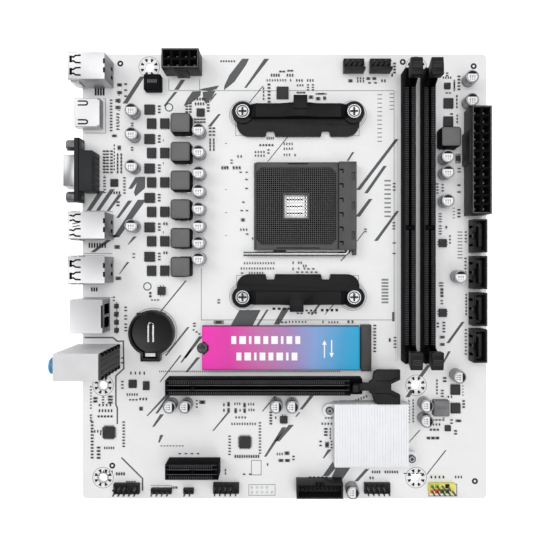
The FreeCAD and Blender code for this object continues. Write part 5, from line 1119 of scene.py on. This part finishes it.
def analogue_video_port():
    """Ribbed body, drawn a little shorter than its CAD solid, behind a metal front."""
    behind = (board_low.x + 6.0) * MM
    for point in softened("vga_body", "vga_plastic", 0.2, VGA_BLUE).data.vertices:
        if point.co.x > behind:
            point.co.x -= 1.4 * MM
    softened("vga_shell", "port_nickel", 0.1, DULL_FRONT)
    softened("vga_nuts", "screw_steel", 0.15, NUT_METAL)
    low, high = box("vga_body")
    ribs = Piece()
    for k in range(6):
        y = (low.y + high.y) / 2 - 6.8 + 2.7 * k
        ribs.block((high.x - 1.65, y - 0.5, low.z + 0.6), (high.x - 1.3, y + 0.5, high.z - 1.4), 0, 0.1)
    flange = board_low.x + 2.45
    ribs.block((flange - 0.5, low.y + 0.4, high.z - 0.1), (flange - 0.15, high.y - 0.4, high.z),
               1, 0.02)
    ribs.build("vga_ribs", [LATCH, DEEP])


def network_port():
    metal_cover("lan_shell", 0.12)
    softened("lan_core", "port_core_plastic", 0.1, BLACK)
    low, high = box("lan_shell")
    middle = (low.y + high.y) / 2
    slits = Piece()
    slits.block((high.x - 0.7, middle - 5.3, high.z - 0.4), (high.x, middle + 5.3, high.z), 0, 0.0)
    for y in (middle - 3.2, middle + 3.2):
        slits.block((high.x - 0.1, y - 2.5, low.z + 2.0), (high.x, y + 2.5, high.z - 3.0), 1, 0.05)
    slits.build("lan_slit", [DEEP, FERRITE])


def audio_jacks():
    """Pale housing with a ribbed dark back, and a coloured ring in front of each jack."""
    low, high = box("audio_housing")
    middle = (low.y + high.y) / 2
    back = high.x - 1.2
    depth = 12.0
    sides = 36
    housing = Piece()
    housing.block((back - 1.0, low.y + 0.6, low.z + 0.1),
                  (high.x - 0.35, high.y - 0.6, high.z - 0.25), 1, 0.1)
    holes = [ring(middle, board_high.z + height, 1.8, sides) for height in (6.0, 17.0, 28.0)]
    front = Piece()
    front.prism(rectangle(low.y, low.z, high.y, high.z), low.x, back, 0, holes)
    housing.add([(z, x, y) for x, y, z in front.points], front.faces)
    for hole in holes:
        housing.add([(low.x + depth, y, z) for y, z in hole], [range(sides)], 2)
    for j, side in product(range(6), (-1, 1)):
        y, z = middle + side * 5.2, low.z + 0.9 + 5.5 * j
        housing.block((high.x - 1.3, y - 0.75, z), (high.x - 0.05, y + 0.75, z + 2.9), 2, 0.1)
    for y in (middle - 2.6, middle, middle + 2.6):
        housing.block((high.x - 0.5, y - 0.35, low.z + 1.0), (high.x - 0.1, y + 0.35, high.z - 1.2),
                      1, 0.1)
    housing.build("audio_housing_detail", [AUDIO, AUDIO_BACK, DEEP],
                  ["audio_housing"])
    collars = Piece()
    boxes = sorted(islands("audio_collars"), key=lambda pair: pair[0].z)
    for tint, (low, high) in enumerate(boxes):
        start = Vector((low.x, (low.y + high.y) / 2, (low.z + high.z) / 2))
        length = high.x - low.x
        radius = (high.z - low.z) / 2
        profile = [(1.8, 0.25), (2.1, 0), (radius - 0.5, 0), (radius, 0.5), (radius, length),
                   (1.8, length), (1.8, 0.25)]
        collars.lathe(start, profile, tint, 48, axis=(1, 0, 0))
    collars.build("audio_collar_rings", [JACK_PINK, JACK_GREEN, JACK_BLUE],
                  ["audio_collars"])


# ---- soldered parts

def small_part(piece, spot, size):
    """Ceramic or resistor body (tints 0 or 2) between two tinned ends (tint 1)."""
    half = Vector((size.x / 2, size.y / 2, 0))
    axis = 1 if size.y > size.x else 0
    end = size[axis] * 0.22
    low, high = spot - half, spot + half + Vector((0, 0, size.z))
    body_low, body_high = low.copy(), high - Vector((0, 0, 0.03))
    first_high, second_low = high.copy(), low.copy()
    first_high[axis] = body_low[axis] = low[axis] + end
    second_low[axis] = body_high[axis] = high[axis] - end
    tint = 0 if int((spot * MM).x * 7919 + (spot * MM).y * 3571) % 3 else 2
    piece.block(body_low, body_high, tint, 0.02)
    piece.block(low, first_high, 1, 0.05)
    piece.block(second_low, high, 1, 0.05)


def capacitors():
    """Drawn cans with a crimped waist, and a dark sector with plain strokes on top."""
    piece = Piece()
    for low, high in islands("capacitors"):
        centre = foot(low, high)
        radius = (high.x - low.x) / 2
        tall = high.z - low.z
        profile = [(0, 0), (radius - 0.1, 0), (radius, 0.15), (radius, 0.9), (radius - 0.25, 1.3),
                   (radius, 1.7), (radius, tall - 0.35), (radius - 0.12, tall - 0.1),
                   (radius - 0.35, tall), (radius - 0.5, tall - 0.04), (radius - 0.62, tall - 0.3),
                   (radius - 0.7, tall - 0.15), (0, tall - 0.15)]
        # The groove inside the top rim takes the print black as painted shade; the underside is black too.
        piece.lathe(centre, profile, [2, 2, 0, 0, 0, 0, 0, 0, 0, 2, 2, 1], 40)
        corner = at(40, 150)
        facing = 0 if centre.y < corner.y and centre.x > corner.x else pi / 2
        top = high.z - 0.15
        angles = [facing + 1.05 * (k / 7 - 1) for k in range(15)]
        inner = radius - 0.64
        sector = [(centre.x + inner * cos(angle), centre.y + inner * sin(angle)) for angle in angles]
        piece.prism(sector, top, top + 0.03, 2)
        can_strokes(piece, centre.to_2d(), facing, top)
    piece.build("capacitor_cans", [ALUMINIUM, CAN_TOP, CAN_PRINT_AND_GROOVE_SHADE, CAN_MARK],
                ["capacitors"], smooth=40)


def can_strokes(piece, centre, facing, top):
    """Three rows of strokes, which run along the way the can faces."""
    ahead = Vector((cos(facing), sin(facing)))
    across = Vector((-sin(facing), cos(facing)))
    strokes = ((0.35, 0.1, 0.36), (0.1, -0.75, 0.15), (-1.1, -1.7, 0.15))
    for row, (start, end, half) in product((-1.05, 0.0, 1.05), strokes):
        corners = ((start, -half), (start, half), (end, half), (end, -half))
        piece.prism([tuple(centre + ahead * along + across * (row + side))
                     for along, side in corners], top, top + 0.02, 3)


def rounded(size, radius, segments):
    """Points, faces and upward faces of a block with rounded upper edges, on the origin."""
    work = bmesh.new()
    bmesh.ops.create_cube(work, size=1)
    for point in work.verts:
        point.co = (point.co + Vector((0, 0, 0.5))) * size
    upper = [edge for edge in work.edges if max(v.co.z for v in edge.verts) > 0.5 * size.z]
    bmesh.ops.bevel(work, geom=upper, offset=radius, segments=segments, profile=0.5,
                    affect="EDGES")
    bmesh.ops.recalc_face_normals(work, faces=work.faces)
    work.verts.index_update()
    points = [point.co.copy() for point in work.verts]
    faces = [[point.index for point in face.verts] for face in work.faces]
    upward = [face.normal.z > 0.7 for face in work.faces]
    work.free()
    return points, faces, upward


def chokes():
    piece = Piece()
    boxes = islands("vrm_chokes")
    points, faces, upward = rounded(Vector((9.8, 9.8, 8.6)), 1.5, 4)
    # Upward faces keep the ferrite colour; all other faces get the darker copy, as painted shade on the
    # sides.
    tints = [0 if up else 1 for up in upward]
    for low, high in boxes:
        if high.z - low.z > 2:
            piece.add([foot(low, high) + point for point in points], faces, tints)
    for low, high in boxes:
        if high.z - low.z < 2:
            piece.block(low, high, 2, 0.05)
    piece.build("choke_blocks", [FERRITE, SIDE_SHADE_AND_BLACK_FERRITE, TIN], ["vrm_chokes"],
                smooth=60)
    small = Piece()
    for low, high in islands("small_inductors"):
        points, faces, upward = rounded(high - low, 0.8, 3)
        base = foot(low, high)
        small.add([base + point for point in points], faces, int(low.x < at(100, 0).x))
        for k in range(5):
            small.slab(base.x - 2.0 + k, base.y + 0.4, 0.275, 0.85, high.z - 0.01, high.z + 0.01,
                       2, 0.0)
    small.build("small_choke_blocks", [GREY_FERRITE, SIDE_SHADE_AND_BLACK_FERRITE, EPOXY_MARK],
                ["small_inductors"], smooth=60)


def leads(piece, outline, body, axis, count, pitch, half, height, overlap, cut):
    """Flat leads along two sides of a package, from its outline in to its body."""
    low, high = outline
    across = 1 - axis
    for k in range(count):
        middle = (low[across] + high[across]) / 2 + (k - (count - 1) / 2) * pitch
        for near, far in ((low[axis], body[0][axis] + overlap), (body[1][axis] - overlap, high[axis])):
            lead_low, lead_high = low.copy(), low + Vector((0, 0, height))
            lead_low[axis], lead_high[axis] = near, far
            lead_low[across], lead_high[across] = middle - half, middle + half
            piece.block(lead_low, lead_high, 1, cut)


def power_switches():
    piece = Piece()
    for low, high in islands("mosfets"):
        size = high - low
        axis = 0 if size.x > size.y else 1
        body_low, body_high = low + Vector((0, 0, 0.05)), high.copy()
        body_low[axis] += 0.35
        body_high[axis] -= 0.35
        piece.block(body_low, body_high, 0, 0.12)
        leads(piece, (low, high), (body_low, body_high), axis, 4, size[1 - axis] / 4, 0.28,
              0.35, 0.1, 0.04)
    piece.build("power_switch_packages", [EPOXY, END_CAP], ["mosfets"])


def chips():
    """Packages with leads on two sides, or on four where they are square or thin."""
    piece = Piece()
    for low, high in islands("chips"):
        size = high - low
        thick = size.z > 1.2
        four = not thick or abs(size.x - size.y) < 0.6
        axes = (0, 1) if four else ((0,) if size.x >= size.y else (1,))
        inset = 0.7 if thick else 0.12
        body_low, body_high = low + Vector((0, 0, 0.1)), high.copy()
        for axis in axes:
            body_low[axis] += inset
            body_high[axis] -= inset
        piece.block(body_low, body_high, 0, 0.1)
        pitch = 0.5 if four else 1.27
        for axis in axes:
            room = high[1 - axis] - low[1 - axis] - (2 * inset if four else 0)
            leads(piece, (low, high), (body_low, body_high), axis, int(room / pitch - 0.2), pitch,
                  pitch * 0.22, 0.3, 0.02, 0.02)
        dot = Vector((body_low.x + 0.7, body_high.y - 0.7, body_high.z - 0.01))
        piece.lathe(dot, [(0, 0), (0.25, 0), (0.25, 0.02), (0, 0.02)], 2, 16)
    piece.build("chip_packages", [EPOXY, END_CAP, EPOXY_MARK], ["chips"])


def passives():
    piece = Piece()
    for low, high in islands("smd_passives"):
        small_part(piece, foot(low, high), high - low)
    piece.build("passive_parts", [CERAMIC, END_CAP, RESISTOR], ["smd_passives"])


# ---- stage and camera

def stage():
    """Pale floor, graded sky and three soft lamps."""
    top = cad_box[0].z / MM - 0.05
    reach = 40000
    floor = Piece()
    floor.prism(rectangle(-reach, -reach, reach, reach), top - 10, top)
    pale = surface("pale_floor", (0.93, 0.93, 0.93), rough=0.7, uneven=0.01, grain=40, bump=0.0)
    adjust(pale.node_tree.nodes["Principled BSDF"], Emission_Color=(1, 1, 1, 1),
           Emission_Strength=0.5)
    ground = bpy.data.objects.new("floor", floor.mesh("floor", [pale]))
    bpy.context.scene.collection.objects.link(ground)

    world = bpy.data.worlds.new("studio")
    world.use_nodes = True
    tree = world.node_tree
    link = tree.links.new
    split = added(tree, "SeparateXYZ")
    ramp = colour_ramp(tree, (0.0, (0.34, 0.34, 0.35)), (0.8, (1, 1, 1)))
    sky = adjust(tree.nodes["Background"], Strength=0.62)
    link(added(tree, "TexCoord").outputs["Generated"], split.inputs["Vector"])
    link(split.outputs["Z"], ramp.inputs["Fac"])
    link(ramp.outputs["Color"], sky.inputs["Color"])
    bpy.context.scene.world = world
    for name, place, energy, size in (("key", (-0.9, 0.7, 1.2), 6.5, 0.8),
                                      ("fill", (0.6, -0.8, 1.3), 3.5, 0.9),
                                      ("overhead", (0.2, 0.3, 1.5), 8.5, 0.8)):
        light = bpy.data.lights.new(name, "AREA")
        light.energy = energy
        light.size = size
        lamp = bpy.data.objects.new(name, light)
        lamp.location = place
        aim = Vector((0.09, 0.10, 0)) - lamp.location
        lamp.rotation_euler = aim.to_track_quat("-Z", "Y").to_euler()
        bpy.context.scene.collection.objects.link(lamp)
    bpy.context.scene.view_settings.view_transform = "Standard"


def camera():
    """Straight down, 300 mm over the board."""
    view = bpy.data.cameras.new("camera")
    view.sensor_width = 36
    view.lens = 38.96
    view.shift_x = 0.0018
    view.shift_y = -0.0286
    view.clip_start = 0.01
    eye = bpy.data.objects.new("camera", view)
    eye.location = at(97.24, 103.8, 300) * MM
    bpy.context.scene.collection.objects.link(eye)
    bpy.context.scene.camera = eye


paint_cad("pcb", MASK)
for make in (dark_print, bold_print, fine_print, mount_pads, socket, lever, brackets, memory_slots,
             card_slots, storage_card, chipset, cell_holder, power_connectors, headers, pins,
             storage_ports, usb_shells, digital_video_port, analogue_video_port, network_port,
             audio_jacks, capacitors, chokes, power_switches, chips, passives, stage, camera):
    make()
